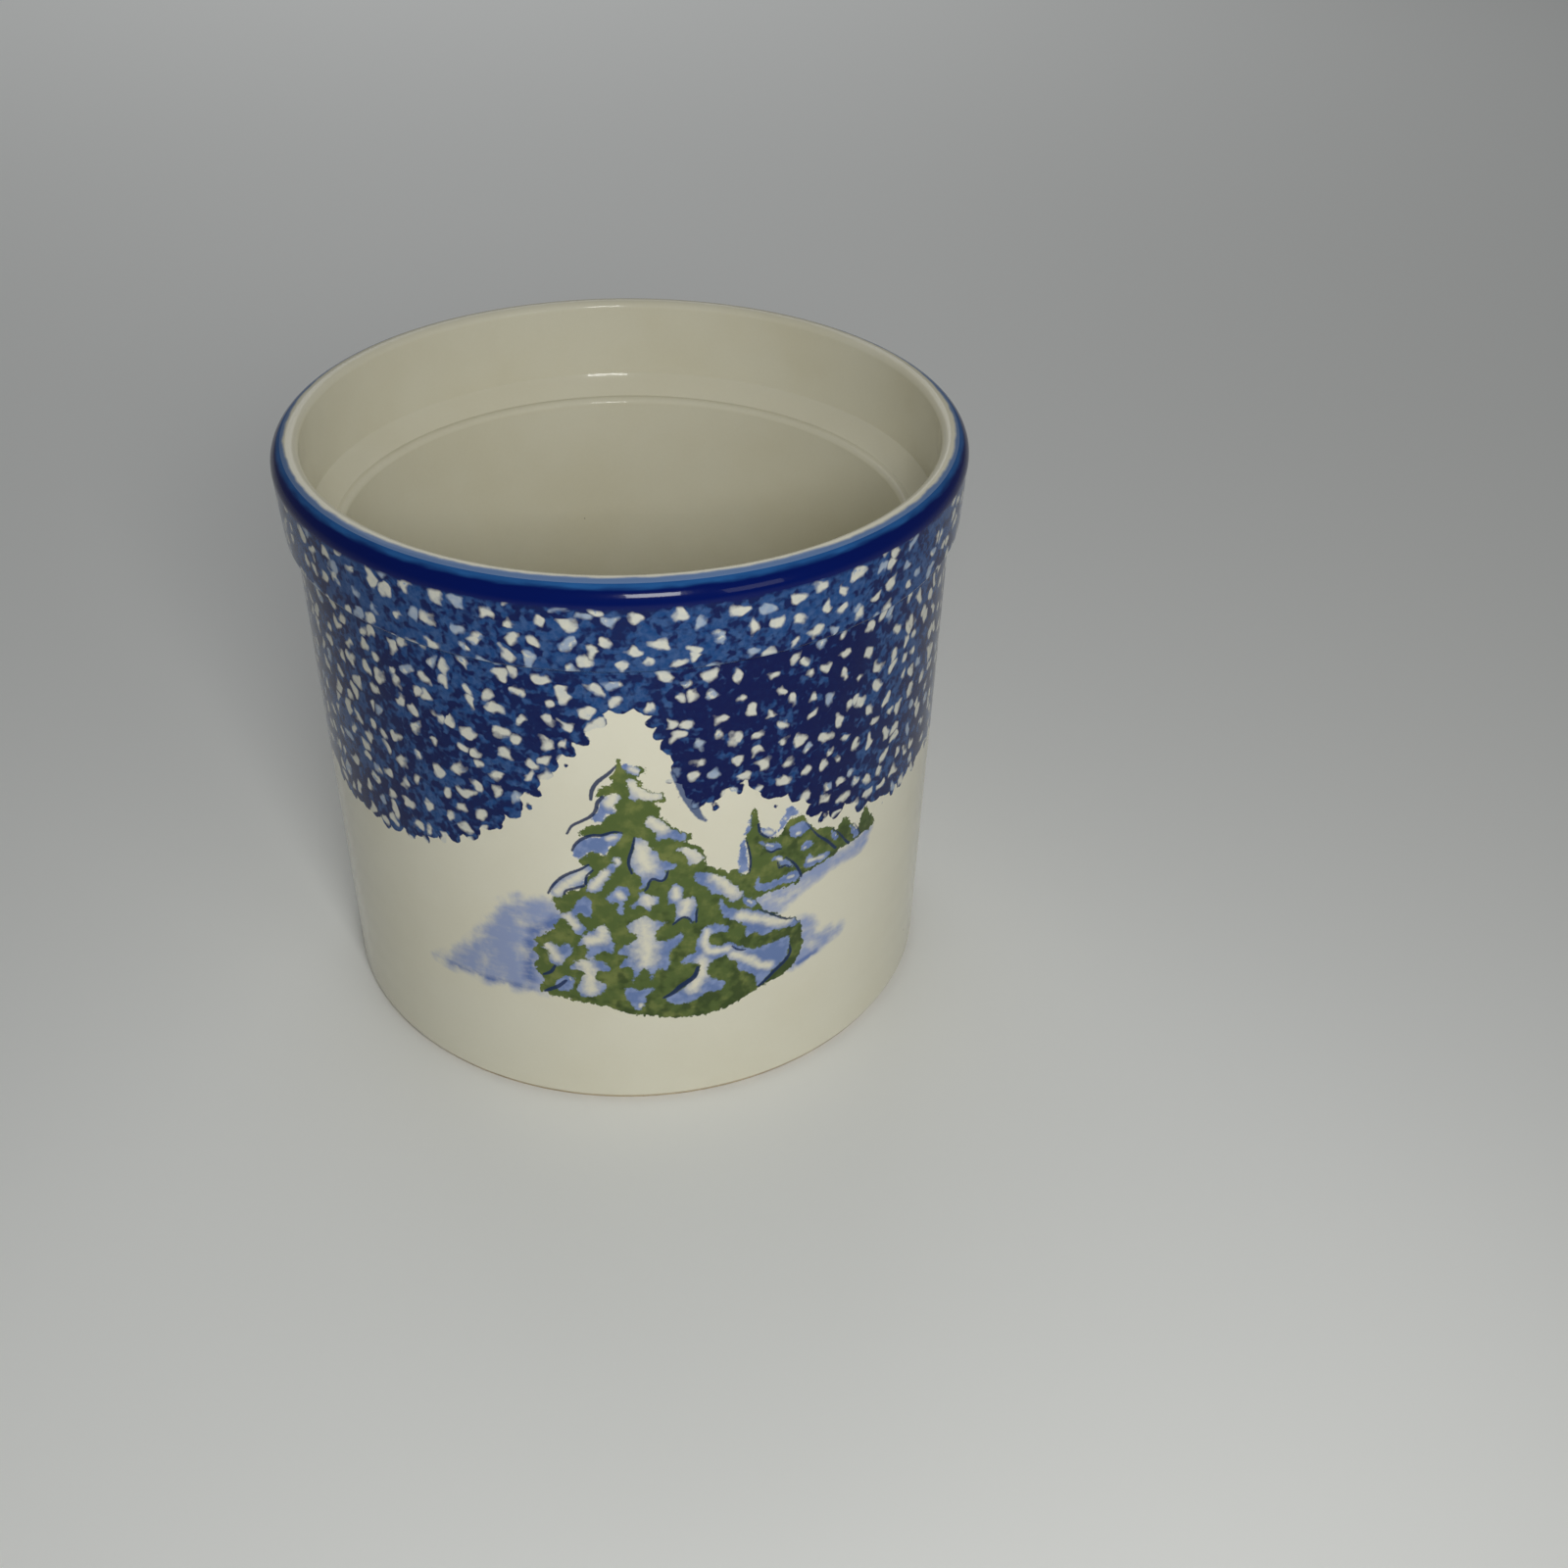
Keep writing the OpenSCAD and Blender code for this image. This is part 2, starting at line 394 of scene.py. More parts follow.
# Lower edge of the sponged band, all round, as drawn
SPONGE_EDGE = [
    (-156, 44.6), (-140, 45.3), (-125, 44.2), (-110, 45.0), (-95, 44.1), (-80, 44.8), (-68, 43.9),
    (-60, 44.0), (-55, 43.4), (-50, 43.2), (-45, 43.5), (-40, 43.2), (-36, 44.0), (-33, 45.0), (-30, 46.4),
    (-27, 47.2), (-24, 48.0), (-22, 50.0), (-20, 52.0), (-17, 54.0), (-15, 57.0), (-13, 60.2), (-11, 63.4),
    (-8.2, 66.6), (-5.6, 69.4), (-3.8, 71.8), (-1.0, 72.9), (1.6, 72.0), (3.2, 69.0), (4.2, 64.8),
    (5.4, 60.6), (7.4, 57.4), (9.4, 56.2), (11.4, 56.6), (13.4, 57.8), (15.2, 58.6), (16.6, 56.6),
    (19.0, 54.6), (23, 53.8), (25, 52.0), (27, 49.2), (30, 47.4), (33, 47.4), (36, 45.8), (40, 45.2),
    (45, 44.6), (50, 44.5), (55, 45.0), (66, 44.4), (80, 45.2), (95, 44.2), (110, 45.1), (125, 44.4),
    (140, 45.2), (156, 44.6),
]

# Green of the big pine, clockwise from its tip
BIG_PINE = [
    (-2.5, 65.2), (-1.9, 65.1), (-1.6, 64.2), (0.2, 64.0), (1.4, 63.5), (1.0, 62.7), (0.25, 62.2),
    (0.6, 61.1), (1.3, 60.1), (3.2, 59.4), (3.8, 58.8), (3.6, 57.8), (2.4, 57.6), (3.2, 56.7), (3.0, 55.5),
    (3.9, 54.4), (5.2, 53.0), (6.7, 52.0), (7.5, 51.9), (7.3, 50.9), (6.9, 50.2), (8.2, 49.6), (9.0, 48.6),
    (9.3, 47.2), (9.4, 46.2), (10.4, 45.2), (11.8, 44.5), (12.8, 43.6), (13.8, 42.0), (15.0, 40.0),
    (16.4, 38.2), (17.6, 36.6), (18.2, 35.2), (20.0, 33.8), (22.0, 32.2), (24.2, 31.0), (25.1, 29.2),
    (25.2, 27.2), (25.6, 25.9), (25.2, 24.0), (24.2, 22.2), (22.8, 21.0), (20.8, 20.4), (18.2, 19.8),
    (15.0, 18.4), (12.0, 17.3), (8.6, 16.8), (4.6, 17.1), (1.5, 17.8), (-2.6, 18.7), (-5.4, 19.9),
    (-9.0, 20.5), (-12.0, 21.1), (-13.6, 20.9), (-14.4, 21.8), (-15.6, 21.6), (-15.4, 23.0), (-14.8, 24.0),
    (-15.4, 25.2), (-16.0, 27.0), (-15.2, 28.6), (-16.2, 29.8), (-15.4, 31.0), (-16.0, 32.0), (-14.4, 33.0),
    (-12.8, 34.6), (-12.0, 36.2), (-11.6, 37.6), (-12.7, 40.2), (-11.2, 41.0), (-10.0, 42.0), (-8.2, 42.6),
    (-7.6, 44.4), (-6.8, 46.2), (-8.4, 47.4), (-7.5, 48.8), (-6.2, 49.5), (-4.8, 48.9), (-4.0, 50.2),
    (-3.0, 51.3), (-2.4, 52.3), (-5.0, 52.1), (-7.2, 52.0), (-8.2, 52.2), (-7.4, 53.3), (-6.4, 54.1),
    (-5.4, 54.2), (-4.6, 55.1), (-3.6, 56.0), (-2.9, 56.6), (-3.2, 57.4), (-2.6, 58.6), (-2.8, 59.5),
    (-4.2, 59.1), (-5.4, 58.7), (-5.2, 59.8), (-4.6, 60.7), (-3.4, 60.8), (-3.5, 62.2), (-2.9, 63.4),
    (-2.7, 64.4),
]

# Green of the distant pines, clockwise from the big pine's side
FAR_PINES = [
    (12.6, 43.4), (14.0, 44.1), (15.2, 42.8), (15.9, 43.2), (15.9, 46.0), (15.2, 49.0), (15.8, 51.8),
    (16.3, 54.4), (17.0, 53.0), (17.4, 51.2), (17.8, 49.4), (19.2, 48.2), (20.6, 48.0), (21.6, 49.4),
    (22.6, 50.4), (24.4, 50.2), (25.4, 48.6), (27.0, 46.6), (28.2, 46.3), (29.4, 46.0), (30.2, 45.4),
    (31.2, 44.6), (32.2, 46.1), (33.6, 45.2), (34.6, 43.6), (35.6, 42.4), (36.2, 44.2), (37.2, 45.6),
    (38.4, 44.0), (39.2, 42.6), (39.7, 41.4), (38.4, 40.8), (36.0, 40.8), (34.0, 40.5), (32.0, 40.6),
    (30.6, 40.0), (28.6, 39.6), (26.8, 39.3), (24.8, 39.1), (24.2, 38.0), (22.0, 37.9), (19.0, 38.0),
    (17.0, 37.4), (15.2, 36.4), (13.8, 38.0), (12.6, 40.4),
]

# Snow on the boughs: the line of its white heart, how far the white reaches, and its outline
SNOW = [
    ([(-0.6, 63.6), (0.1, 63.2)], 0.5, [
        (-1.9, 64.5), (-0.5, 64.2), (0.5, 63.4), (0.2, 62.4), (-0.9, 62.9), (-1.8, 63.6)]),
    ([(-0.6, 61.0), (0.6, 59.4), (2.6, 58.8)], 1.4, [
        (-1.3, 61.7), (-0.4, 61.8), (0.2, 60.8), (1.3, 59.9), (3.1, 59.3), (3.3, 58.4), (2.2, 58.1),
        (0.4, 58.4), (-0.8, 58.4), (-1.0, 60.2)]),
    ([(-3.0, 59.0), (-3.8, 57.8)], 0.9, [
        (-2.5, 59.3), (-4.2, 58.9), (-5.1, 58.2), (-5.4, 56.5), (-6.3, 55.2), (-5.3, 54.4), (-4.6, 55.0),
        (-4.1, 56.0), (-2.8, 56.4), (-3.4, 57.4), (-2.4, 58.5)]),
    ([(1.8, 54.7), (3.2, 53.4)], 1.3, [
        (1.2, 55.3), (2.3, 55.4), (3.5, 54.3), (4.6, 53.0), (6.4, 51.9), (6.9, 51.2), (6.5, 50.6),
        (4.5, 51.2), (2.6, 51.3), (2.5, 52.6), (1.1, 53.6)]),
    ([(-3.2, 52.0), (-4.0, 51.8)], 0.5, [
        (-2.3, 52.5), (-3.5, 52.7), (-5.2, 52.1), (-7.2, 51.8), (-8.6, 50.5), (-9.1, 48.9), (-8.5, 47.9),
        (-7.5, 48.5), (-6.6, 49.4), (-5.3, 49.2), (-4.4, 48.8), (-4.0, 50.2), (-2.8, 51.2)]),
    ([(0.6, 50.0), (0.5, 48.4), (1.0, 46.6)], 1.7, [
        (-0.4, 51.9), (0.8, 51.4), (1.7, 50.2), (2.5, 49.0), (2.9, 47.7), (4.4, 47.2), (5.2, 46.3),
        (4.5, 45.7), (3.6, 45.6), (3.5, 44.3), (2.8, 43.9), (1.4, 44.2), (0.9, 43.1), (0.1, 42.8),
        (0.2, 44.2), (-0.6, 45.7), (-1.3, 47.0), (-1.1, 48.6), (-0.6, 50.4)]),
    ([(6.8, 48.9), (8.0, 47.4)], 1.5, [
        (5.3, 49.3), (6.5, 49.6), (8.0, 48.9), (9.0, 47.4), (8.8, 46.6), (7.8, 46.3), (6.9, 45.9),
        (6.8, 47.3), (5.9, 48.7)]),
    ([(-3.0, 47.9), (-2.9, 47.5)], 0.6, [
        (-3.6, 48.2), (-2.8, 48.5), (-2.4, 47.4), (-3.0, 46.9), (-3.5, 47.3)]),
    ([(-4.8, 45.6), (-6.6, 43.0)], 0.8, [
        (-3.7, 47.3), (-3.4, 46.3), (-4.8, 44.0), (-5.6, 42.3), (-7.2, 42.0), (-7.5, 43.0), (-6.5, 44.6),
        (-5.0, 46.3)]),
    ([(-7.8, 45.6), (-9.6, 43.8), (-11.8, 41.6)], 0.9, [
        (-7.2, 46.7), (-6.6, 46.3), (-7.6, 44.6), (-8.0, 43.3), (-10.0, 42.3), (-10.9, 41.2), (-11.9, 40.7),
        (-12.8, 41.3), (-12.0, 43.1), (-10.4, 44.7), (-8.6, 46.0)]),
    ([(10.8, 43.4), (12.4, 41.6), (13.8, 39.4)], 1.1, [
        (7.9, 44.5), (9.4, 44.4), (11.5, 43.4), (12.9, 42.3), (13.8, 41.0), (14.9, 39.5), (15.0, 38.6),
        (13.9, 38.0), (13.2, 38.0), (12.4, 39.4), (10.3, 40.5), (9.5, 41.8), (8.2, 42.9)]),
    ([(15.8, 37.6), (16.4, 37.0)], 0.2, [
        (15.1, 38.3), (16.4, 37.7), (17.2, 36.7), (16.6, 36.1), (15.4, 36.9)]),
    ([(5.0, 42.0), (5.2, 40.8)], 0.8, [
        (4.1, 41.8), (5.0, 43.1), (6.0, 42.5), (6.0, 41.2), (5.6, 39.6), (4.1, 39.7)]),
    ([(6.6, 39.4), (6.2, 37.8)], 1.1, [
        (5.7, 40.2), (7.3, 40.3), (8.1, 39.6), (7.9, 38.0), (8.0, 36.2), (7.4, 35.5), (6.9, 36.4),
        (6.0, 36.7), (4.9, 36.1), (5.0, 37.4), (5.2, 38.8)]),
    ([(0.9, 40.8), (1.2, 40.0)], 1.0, [
        (0.0, 42.0), (1.0, 41.6), (2.4, 40.9), (2.6, 39.7), (1.7, 39.5), (1.2, 38.4), (0.5, 39.2),
        (-0.3, 39.6), (-1.0, 38.8), (-1.2, 39.9), (-0.3, 40.8)]),
    ([(-3.0, 41.8), (-2.6, 41.2)], 0.6, [
        (-4.7, 41.2), (-3.6, 42.5), (-2.6, 43.3), (-1.5, 42.3), (-1.8, 40.9), (-2.3, 40.2), (-2.3, 39.0),
        (-2.7, 37.8), (-3.3, 38.6), (-3.1, 40.1), (-4.3, 40.2)]),
    ([(-10.4, 37.0), (-9.6, 35.6)], 0.9, [
        (-7.8, 41.1), (-7.0, 40.4), (-7.0, 38.1), (-7.5, 37.3), (-8.6, 37.9), (-9.1, 37.2), (-8.6, 36.0),
        (-8.0, 35.3), (-8.4, 34.3), (-9.3, 33.9), (-10.0, 35.1), (-10.9, 36.5), (-12.0, 36.6),
        (-13.2, 36.1), (-11.6, 37.4), (-10.2, 38.1), (-9.3, 39.2), (-8.7, 40.5)]),
    ([(-5.6, 34.8), (-5.8, 33.2), (-7.6, 32.8)], 1.1, [
        (-5.5, 36.0), (-4.7, 35.2), (-4.3, 33.6), (-3.9, 31.6), (-4.5, 30.4), (-5.2, 31.0), (-6.0, 30.7),
        (-7.2, 29.5), (-8.2, 29.3), (-7.8, 31.0), (-8.2, 31.9), (-9.1, 31.8), (-8.8, 33.1), (-7.6, 34.5)]),
    ([(0.4, 35.8), (0.6, 32.0), (0.7, 29.4)], 1.9, [
        (0.3, 37.6), (1.9, 36.7), (3.6, 36.1), (2.6, 35.3), (2.1, 34.1), (2.3, 32.8), (4.0, 32.7),
        (5.7, 33.8), (6.2, 33.0), (5.2, 31.6), (4.0, 30.4), (4.1, 28.5), (3.6, 26.8), (2.6, 27.3),
        (1.7, 26.3), (1.2, 25.0), (0.9, 26.6), (0.2, 27.6), (-0.5, 26.6), (-1.4, 24.8), (-1.3, 26.7),
        (-1.8, 28.0), (-3.2, 27.6), (-2.9, 28.8), (-2.0, 30.0), (-3.4, 30.6), (-2.7, 31.9), (-1.2, 32.8),
        (-0.7, 34.2), (-1.8, 34.6), (-1.8, 36.1), (-0.8, 36.9)]),
    ([(-13.6, 30.8), (-12.6, 29.0)], 1.1, [
        (-14.8, 30.6), (-13.2, 31.9), (-12.2, 31.2), (-10.9, 31.9), (-10.1, 31.1), (-10.4, 29.8),
        (-11.4, 28.6), (-11.8, 27.7), (-13.1, 27.4), (-13.9, 28.6), (-13.6, 30.0)]),
    ([(-8.4, 28.2), (-7.6, 25.6), (-7.8, 23.4)], 1.5, [
        (-10.5, 27.0), (-10.0, 28.4), (-8.3, 29.2), (-7.0, 29.2), (-5.2, 28.5), (-4.6, 27.3), (-5.4, 26.9),
        (-6.6, 27.0), (-6.9, 25.7), (-6.2, 24.9), (-5.3, 24.0), (-5.9, 22.8), (-7.3, 21.9), (-9.2, 21.8),
        (-9.7, 23.2), (-9.2, 24.8), (-8.6, 26.4), (-9.6, 26.9)]),
    ([(-10.8, 25.2), (-10.6, 24.8)], 0.2, [
        (-11.3, 25.6), (-10.2, 25.2), (-10.5, 23.4), (-11.5, 22.5), (-13.0, 22.9), (-12.6, 24.5)]),
    ([(-0.4, 20.2), (-0.5, 20.0)], 0.4, [
        (-2.7, 23.4), (-1.9, 23.8), (-0.4, 23.2), (0.7, 23.7), (1.6, 23.2), (0.5, 22.0), (0.2, 20.4),
        (-0.4, 19.4), (-1.3, 19.3), (-1.8, 20.6), (-2.6, 22.0)]),
    ([(9.6, 33.4), (9.2, 31.2), (10.0, 29.4), (12.8, 29.2)], 0.7, [
        (7.8, 29.6), (8.3, 32.2), (9.0, 34.0), (10.8, 34.5), (12.8, 33.6), (12.6, 32.6), (11.0, 33.0),
        (10.0, 32.4), (9.9, 31.1), (11.2, 30.2), (13.2, 30.4), (14.6, 29.2), (16.2, 28.2), (15.6, 27.3),
        (13.2, 28.0), (11.0, 27.8), (9.8, 27.0), (8.8, 27.8)]),
    ([(8.8, 27.6), (8.6, 24.8), (7.4, 22.8)], 1.2, [
        (5.7, 28.5), (8.0, 29.8), (9.8, 28.8), (9.9, 27.0), (9.7, 25.2), (10.6, 24.0), (12.2, 22.8),
        (11.8, 21.4), (9.2, 21.2), (7.2, 20.0), (4.4, 19.9), (3.3, 21.4), (5.6, 22.6), (7.6, 24.6),
        (8.5, 26.4), (8.1, 27.6), (6.0, 27.8)]),
    ([(13.6, 28.0), (16.4, 26.0), (18.0, 24.2), (19.6, 23.6)], 0.8, [
        (13.0, 28.4), (14.6, 28.8), (16.6, 28.0), (19.6, 28.1), (22.7, 28.1), (22.9, 26.4), (22.8, 24.6),
        (21.8, 23.4), (19.8, 22.2), (18.4, 20.6), (17.5, 20.3), (17.4, 22.0), (16.0, 23.6), (14.5, 24.6),
        (14.3, 26.2), (12.9, 27.2)]),
    ([(14.4, 35.2), (17.0, 33.9), (20.4, 32.0), (22.4, 31.2)], 0.9, [
        (11.6, 39.2), (12.3, 38.0), (13.2, 36.8), (15.4, 36.1), (17.6, 35.1), (19.8, 33.5), (21.8, 31.9),
        (23.6, 31.2), (24.6, 30.1), (23.0, 29.9), (20.4, 30.3), (18.4, 30.0), (16.8, 31.2), (15.7, 30.7),
        (15.6, 32.2), (14.9, 33.5), (13.6, 34.5), (12.2, 35.6), (11.6, 37.4)]),
    ([(19.0, 34.0), (19.2, 33.8)], 0.1, [
        (14.9, 49.4), (14.4, 47.0), (14.2, 44.6), (14.7, 42.9), (15.6, 43.4), (15.7, 45.8), (15.4, 47.8)]),
    ([(19.0, 34.0), (19.2, 33.8)], 0.1, [
        (16.0, 52.9), (15.5, 51.2), (15.0, 49.9), (15.8, 50.2), (16.1, 51.6)]),
    ([(18.4, 49.4), (19.4, 48.9)], 0.4, [
        (17.7, 50.2), (19.2, 49.6), (20.2, 48.6), (19.4, 48.1), (18.0, 49.0)]),
    ([(18.6, 47.0), (19.6, 46.4)], 0.2, [
        (17.4, 48.0), (18.8, 47.3), (20.2, 46.8), (20.9, 45.9), (20.2, 45.5), (19.0, 45.8), (18.3, 46.7),
        (17.5, 47.2)]),
    ([(21.4, 50.8), (21.6, 50.6)], 0.2, [
        (22.3, 52.7), (23.2, 51.9), (23.8, 50.8), (22.4, 50.7), (21.4, 49.5), (20.4, 48.5), (20.7, 50.0),
        (21.4, 51.7)]),
    ([(23.6, 47.2), (24.0, 47.1)], 0.3, [
        (22.2, 48.5), (23.4, 49.2), (24.8, 49.0), (25.8, 47.6), (24.8, 46.8), (23.4, 46.6), (22.5, 47.4)]),
    ([(25.0, 44.0), (25.2, 44.0)], 0.2, [
        (24.4, 44.2), (25.2, 45.2), (26.2, 44.8), (26.5, 44.0), (25.2, 43.6)]),
    ([(20.4, 43.8), (21.2, 43.4)], 0.3, [
        (19.5, 44.0), (20.8, 44.3), (21.8, 43.2), (23.0, 41.9), (23.4, 41.4), (22.4, 41.6), (21.6, 42.3),
        (20.9, 42.3), (20.6, 43.3)]),
    ([(26.0, 41.2), (28.4, 40.8)], 0.4, [
        (25.0, 40.4), (25.4, 41.8), (26.1, 42.6), (27.0, 41.3), (28.6, 41.6), (30.2, 40.8), (28.8, 40.1),
        (26.6, 39.9)]),
    ([(22.4, 39.6), (23.2, 39.5)], 0.3, [
        (17.4, 41.6), (17.9, 40.3), (19.4, 39.9), (21.4, 40.2), (23.4, 40.6), (24.3, 39.8), (24.3, 38.7),
        (22.6, 38.4), (21.0, 38.8), (19.0, 38.5), (17.3, 38.9), (16.8, 40.2)]),
    ([(30.8, 43.8), (30.9, 43.6)], 0.1, [
        (29.9, 44.9), (31.0, 43.9), (31.6, 42.8), (30.7, 42.8), (30.1, 43.8)]),
    ([(34.6, 43.0), (34.8, 42.6)], 0.1, [
        (33.8, 44.2), (35.0, 42.9), (36.0, 41.4), (35.0, 41.1), (34.2, 42.6)]),
]

# Dark brush lines: half-widths at the start, the middle and the end, and the line
INK = [
    (0.16, 0.3, 0.22, [(-2.7, 64.0), (-3.6, 62.9), (-5.2, 61.4), (-6.0, 59.9), (-6.2, 58.4)]),
    (0.28, 0.26, 0.16, [
        (-4.6, 58.9), (-5.3, 58.0), (-5.6, 56.7), (-6.3, 55.6), (-7.7, 54.6), (-9.0, 53.7), (-9.8, 52.2)]),
    (0.14, 0.26, 0.16, [
        (-2.1, 52.8), (-3.4, 52.9), (-5.0, 52.3), (-6.4, 52.2), (-7.9, 51.4), (-8.8, 50.3), (-9.2, 49.3)]),
    (0.14, 0.24, 0.18, [(-0.5, 51.9), (-0.8, 50.2), (-1.3, 48.4), (-1.4, 47.0), (-1.0, 45.5)]),
    (0.16, 0.24, 0.16, [
        (-7.0, 47.0), (-8.2, 46.1), (-9.8, 45.2), (-11.1, 44.2), (-12.3, 42.7), (-13.1, 41.1)]),
    (0.14, 0.22, 0.16, [
        (-6.4, 46.1), (-7.4, 44.9), (-7.7, 43.3), (-9.3, 42.5), (-10.4, 42.0), (-10.8, 41.2)]),
    (0.16, 0.2, 0.14, [
        (4.0, 45.6), (3.7, 44.4), (3.0, 43.9), (1.9, 44.4), (1.4, 43.9), (1.1, 42.9), (0.7, 42.3)]),
    (0.12, 0.18, 0.16, [(8.2, 38.1), (8.0, 36.9), (8.0, 35.5)]),
    (0.12, 0.2, 0.16, [(7.5, 35.4), (6.8, 36.5), (5.9, 36.7), (4.6, 35.6)]),
    (0.2, 0.28, 0.18, [(-12.9, 27.3), (-13.6, 26.0), (-14.8, 25.2)]),
    (0.24, 0.32, 0.18, [(-11.4, 24.6), (-12.6, 23.3), (-14.0, 22.4), (-14.8, 21.9)]),
    (0.28, 0.42, 0.18, [(8.2, 26.7), (7.6, 24.9), (5.6, 23.4), (4.4, 22.2), (3.0, 21.4)]),
    (0.14, 0.34, 0.22, [(23.1, 26.2), (23.2, 24.6), (22.2, 23.3), (20.6, 22.2), (19.2, 21.0), (17.9, 20.1)]),
    (0.1, 0.16, 0.14, [(17.6, 35.3), (19.8, 33.6), (21.8, 32.0), (23.3, 31.4)]),
    (0.12, 0.2, 0.12, [(13.4, 29.6), (14.4, 28.6), (15.6, 28.2)]),
    (0.22, 0.2, 0.12, [(17.2, 51.2), (17.5, 49.6), (18.6, 48.4), (19.8, 47.9)]),
    (0.1, 0.2, 0.14, [(15.3, 49.2), (15.9, 46.6), (16.1, 44.4), (15.9, 42.7)]),
    (0.1, 0.18, 0.12, [(18.6, 46.0), (19.4, 45.4), (20.4, 45.6), (21.1, 45.3)]),
    (0.1, 0.2, 0.24, [(25.0, 48.6), (26.4, 46.6), (27.6, 45.0), (29.2, 43.4), (31.0, 41.2)]),
    (0.1, 0.18, 0.26, [(30.2, 45.2), (31.6, 43.6), (33.0, 41.6), (33.8, 40.7)]),
    (0.1, 0.22, 0.2, [(21.8, 43.6), (23.0, 42.2), (24.0, 40.6), (24.7, 38.8)]),
    (0.1, 0.16, 0.12, [(20.4, 43.3), (20.8, 42.0), (21.8, 42.1), (22.6, 41.4)]),
    (0.12, 0.14, 0.16, [(34.8, 43.8), (35.8, 42.2), (36.3, 41.1)]),
]

# Blue shadows on the snowy ground: strength, softness of the edge, and the outline
WASHES = [
    (0.85, 1.7, [
        (-33.8, 21.2), (-31.5, 23.4), (-28.8, 25.8), (-26.4, 28.6), (-24.4, 31.2), (-22.6, 34.6),
        (-20.2, 38.2), (-16.5, 39.8), (-12.6, 39.8), (-10.6, 37.8), (-11.6, 34.5), (-13.6, 30.0),
        (-13.6, 25.0), (-14.0, 21.4), (-24.0, 21.0)]),
    (0.8, 0.7, [
        (17.0, 38.4), (24.0, 39.6), (30.6, 40.2), (38.4, 41.2), (39.0, 39.6), (37.0, 37.6), (31.0, 37.2),
        (27.4, 36.4), (24.4, 35.2), (21.8, 33.4), (19.4, 33.6), (17.0, 35.6)]),
    (0.8, 1.0, [
        (23.6, 31.0), (26.4, 30.4), (28.2, 28.6), (28.4, 26.4), (31.4, 26.4), (33.6, 25.4), (33.2, 23.6),
        (29.2, 22.2), (24.0, 21.0), (22.8, 22.4), (24.0, 24.8)]),
]

# Deeper blue in the ground shadows: the line of its heart and how far it reaches
DEEP_WASHES = [
    ([(-11.8, 36.4), (-13.4, 34.6), (-15.6, 33.4)], 1.7),
    ([(-16.4, 31.0), (-16.6, 27.6), (-17.0, 24.0)], 1.5),
    ([(-31.0, 21.6), (-24.0, 21.6), (-17.0, 21.8)], 0.9),
    ([(24.8, 21.6), (28.0, 22.4)], 0.8),
]

# Loose brush tail where the sponge was lifted beside the big pine
TAIL = (1.0, 0.70, 0.22, [(5.6, 62.6), (6.2, 60.4), (7.0, 58.0), (7.9, 56.0), (8.6, 54.6), (9.4, 53.7)])


def spline(points, closed, per_span=5):
    """Points along a Catmull-Rom curve through the given points.

    Between b and c, with neighbours a and d:
    b + (c - a) t / 2 + (2a - 5b + 4c - d) t^2 / 2 + (3b - 3c + d - a) t^3 / 2.
    """
    b = np.array(points, float)
    if closed:
        a, c, d = (np.roll(b, shift, axis=0) for shift in (1, -1, -2))
    else:
        ends = np.vstack([2 * b[0] - b[1], b, 2 * b[-1] - b[-2]])
        a, b, c, d = ends[:-3], ends[1:-2], ends[2:-1], ends[3:]
    t = np.linspace(0, 1, per_span, endpoint=False)[None, :, None]
    a, b, c, d = (p[:, None, :] for p in (a, b, c, d))
    curve = b + (c - a) * t / 2 + (2 * a - 5 * b + 4 * c - d) * t**2 / 2 + (3 * b - 3 * c + d - a) * t**3 / 2
    curve = curve.reshape(-1, 2)
    return curve if closed else np.vstack([curve, np.array(points[-1])])


def line_distance(line, x, y, radii=None):
    """Least distance from each (x, y) to the spans of a line, less the radius there if radii are given.

    The nearest point of the span p to q is p + t (q - p), with t = (v - p).(q - p) / |q - p|^2 kept
    from 0 to 1.
    """
    least = np.full(np.broadcast(x, y).shape, np.inf)
    radii = np.zeros(len(line)) if radii is None else radii
    for p, q, r0, r1 in zip(line[:-1], line[1:], radii[:-1], radii[1:]):
        way = q - p
        t = np.clip(((x - p[0]) * way[0] + (y - p[1]) * way[1]) / (way @ way), 0, 1)
        gap = np.hypot(x - p[0] - t * way[0], y - p[1] - t * way[1]) - (r0 + (r1 - r0) * t)
        np.minimum(least, gap, out=least)
    return least


def outline_depth(outline, x, y):
    """Depth of each (x, y) inside a closed outline: the distance to it, negative outside.

    A point is inside if a ray from it towards +x crosses the outline an odd number of times.
    """
    ahead = np.roll(outline, -1, axis=0)
    inside = np.zeros(np.broadcast(x, y).shape, bool)
    for p, q in zip(outline, ahead):
        if p[1] != q[1]:
            crosses = (p[1] > y) != (q[1] > y)
            inside ^= crosses & (x < (q[0] - p[0]) * (y - p[1]) / (q[1] - p[1]) + p[0])
    gap = line_distance(np.vstack([outline, outline[:1]]), x, y)
    return np.where(inside, gap, -gap)


def window(points, reach, x, y):
    """The block of the grid that lies within reach of the points, with arcs by column and heights by row."""
    low = np.min(points, axis=0) - reach
    high = np.max(points, axis=0) + reach
    columns = np.nonzero((x[0] >= low[0]) & (x[0] <= high[0]))[0]
    rows = np.nonzero((y[:, 0] >= low[1]) & (y[:, 0] <= high[1]))[0]
    if not len(columns) or not len(rows):
        return None
    return slice(rows[0], rows[-1] + 1), slice(columns[0], columns[-1] + 1)


def draw(layer, points, reach, x, y, value):
    """Raises the layer to value(x, y) within reach of the points."""
    block = window(points, reach, x, y)
    if block:
        rows, columns = block
        layer[block] = np.maximum(layer[block], value(x[:, columns], y[rows]))


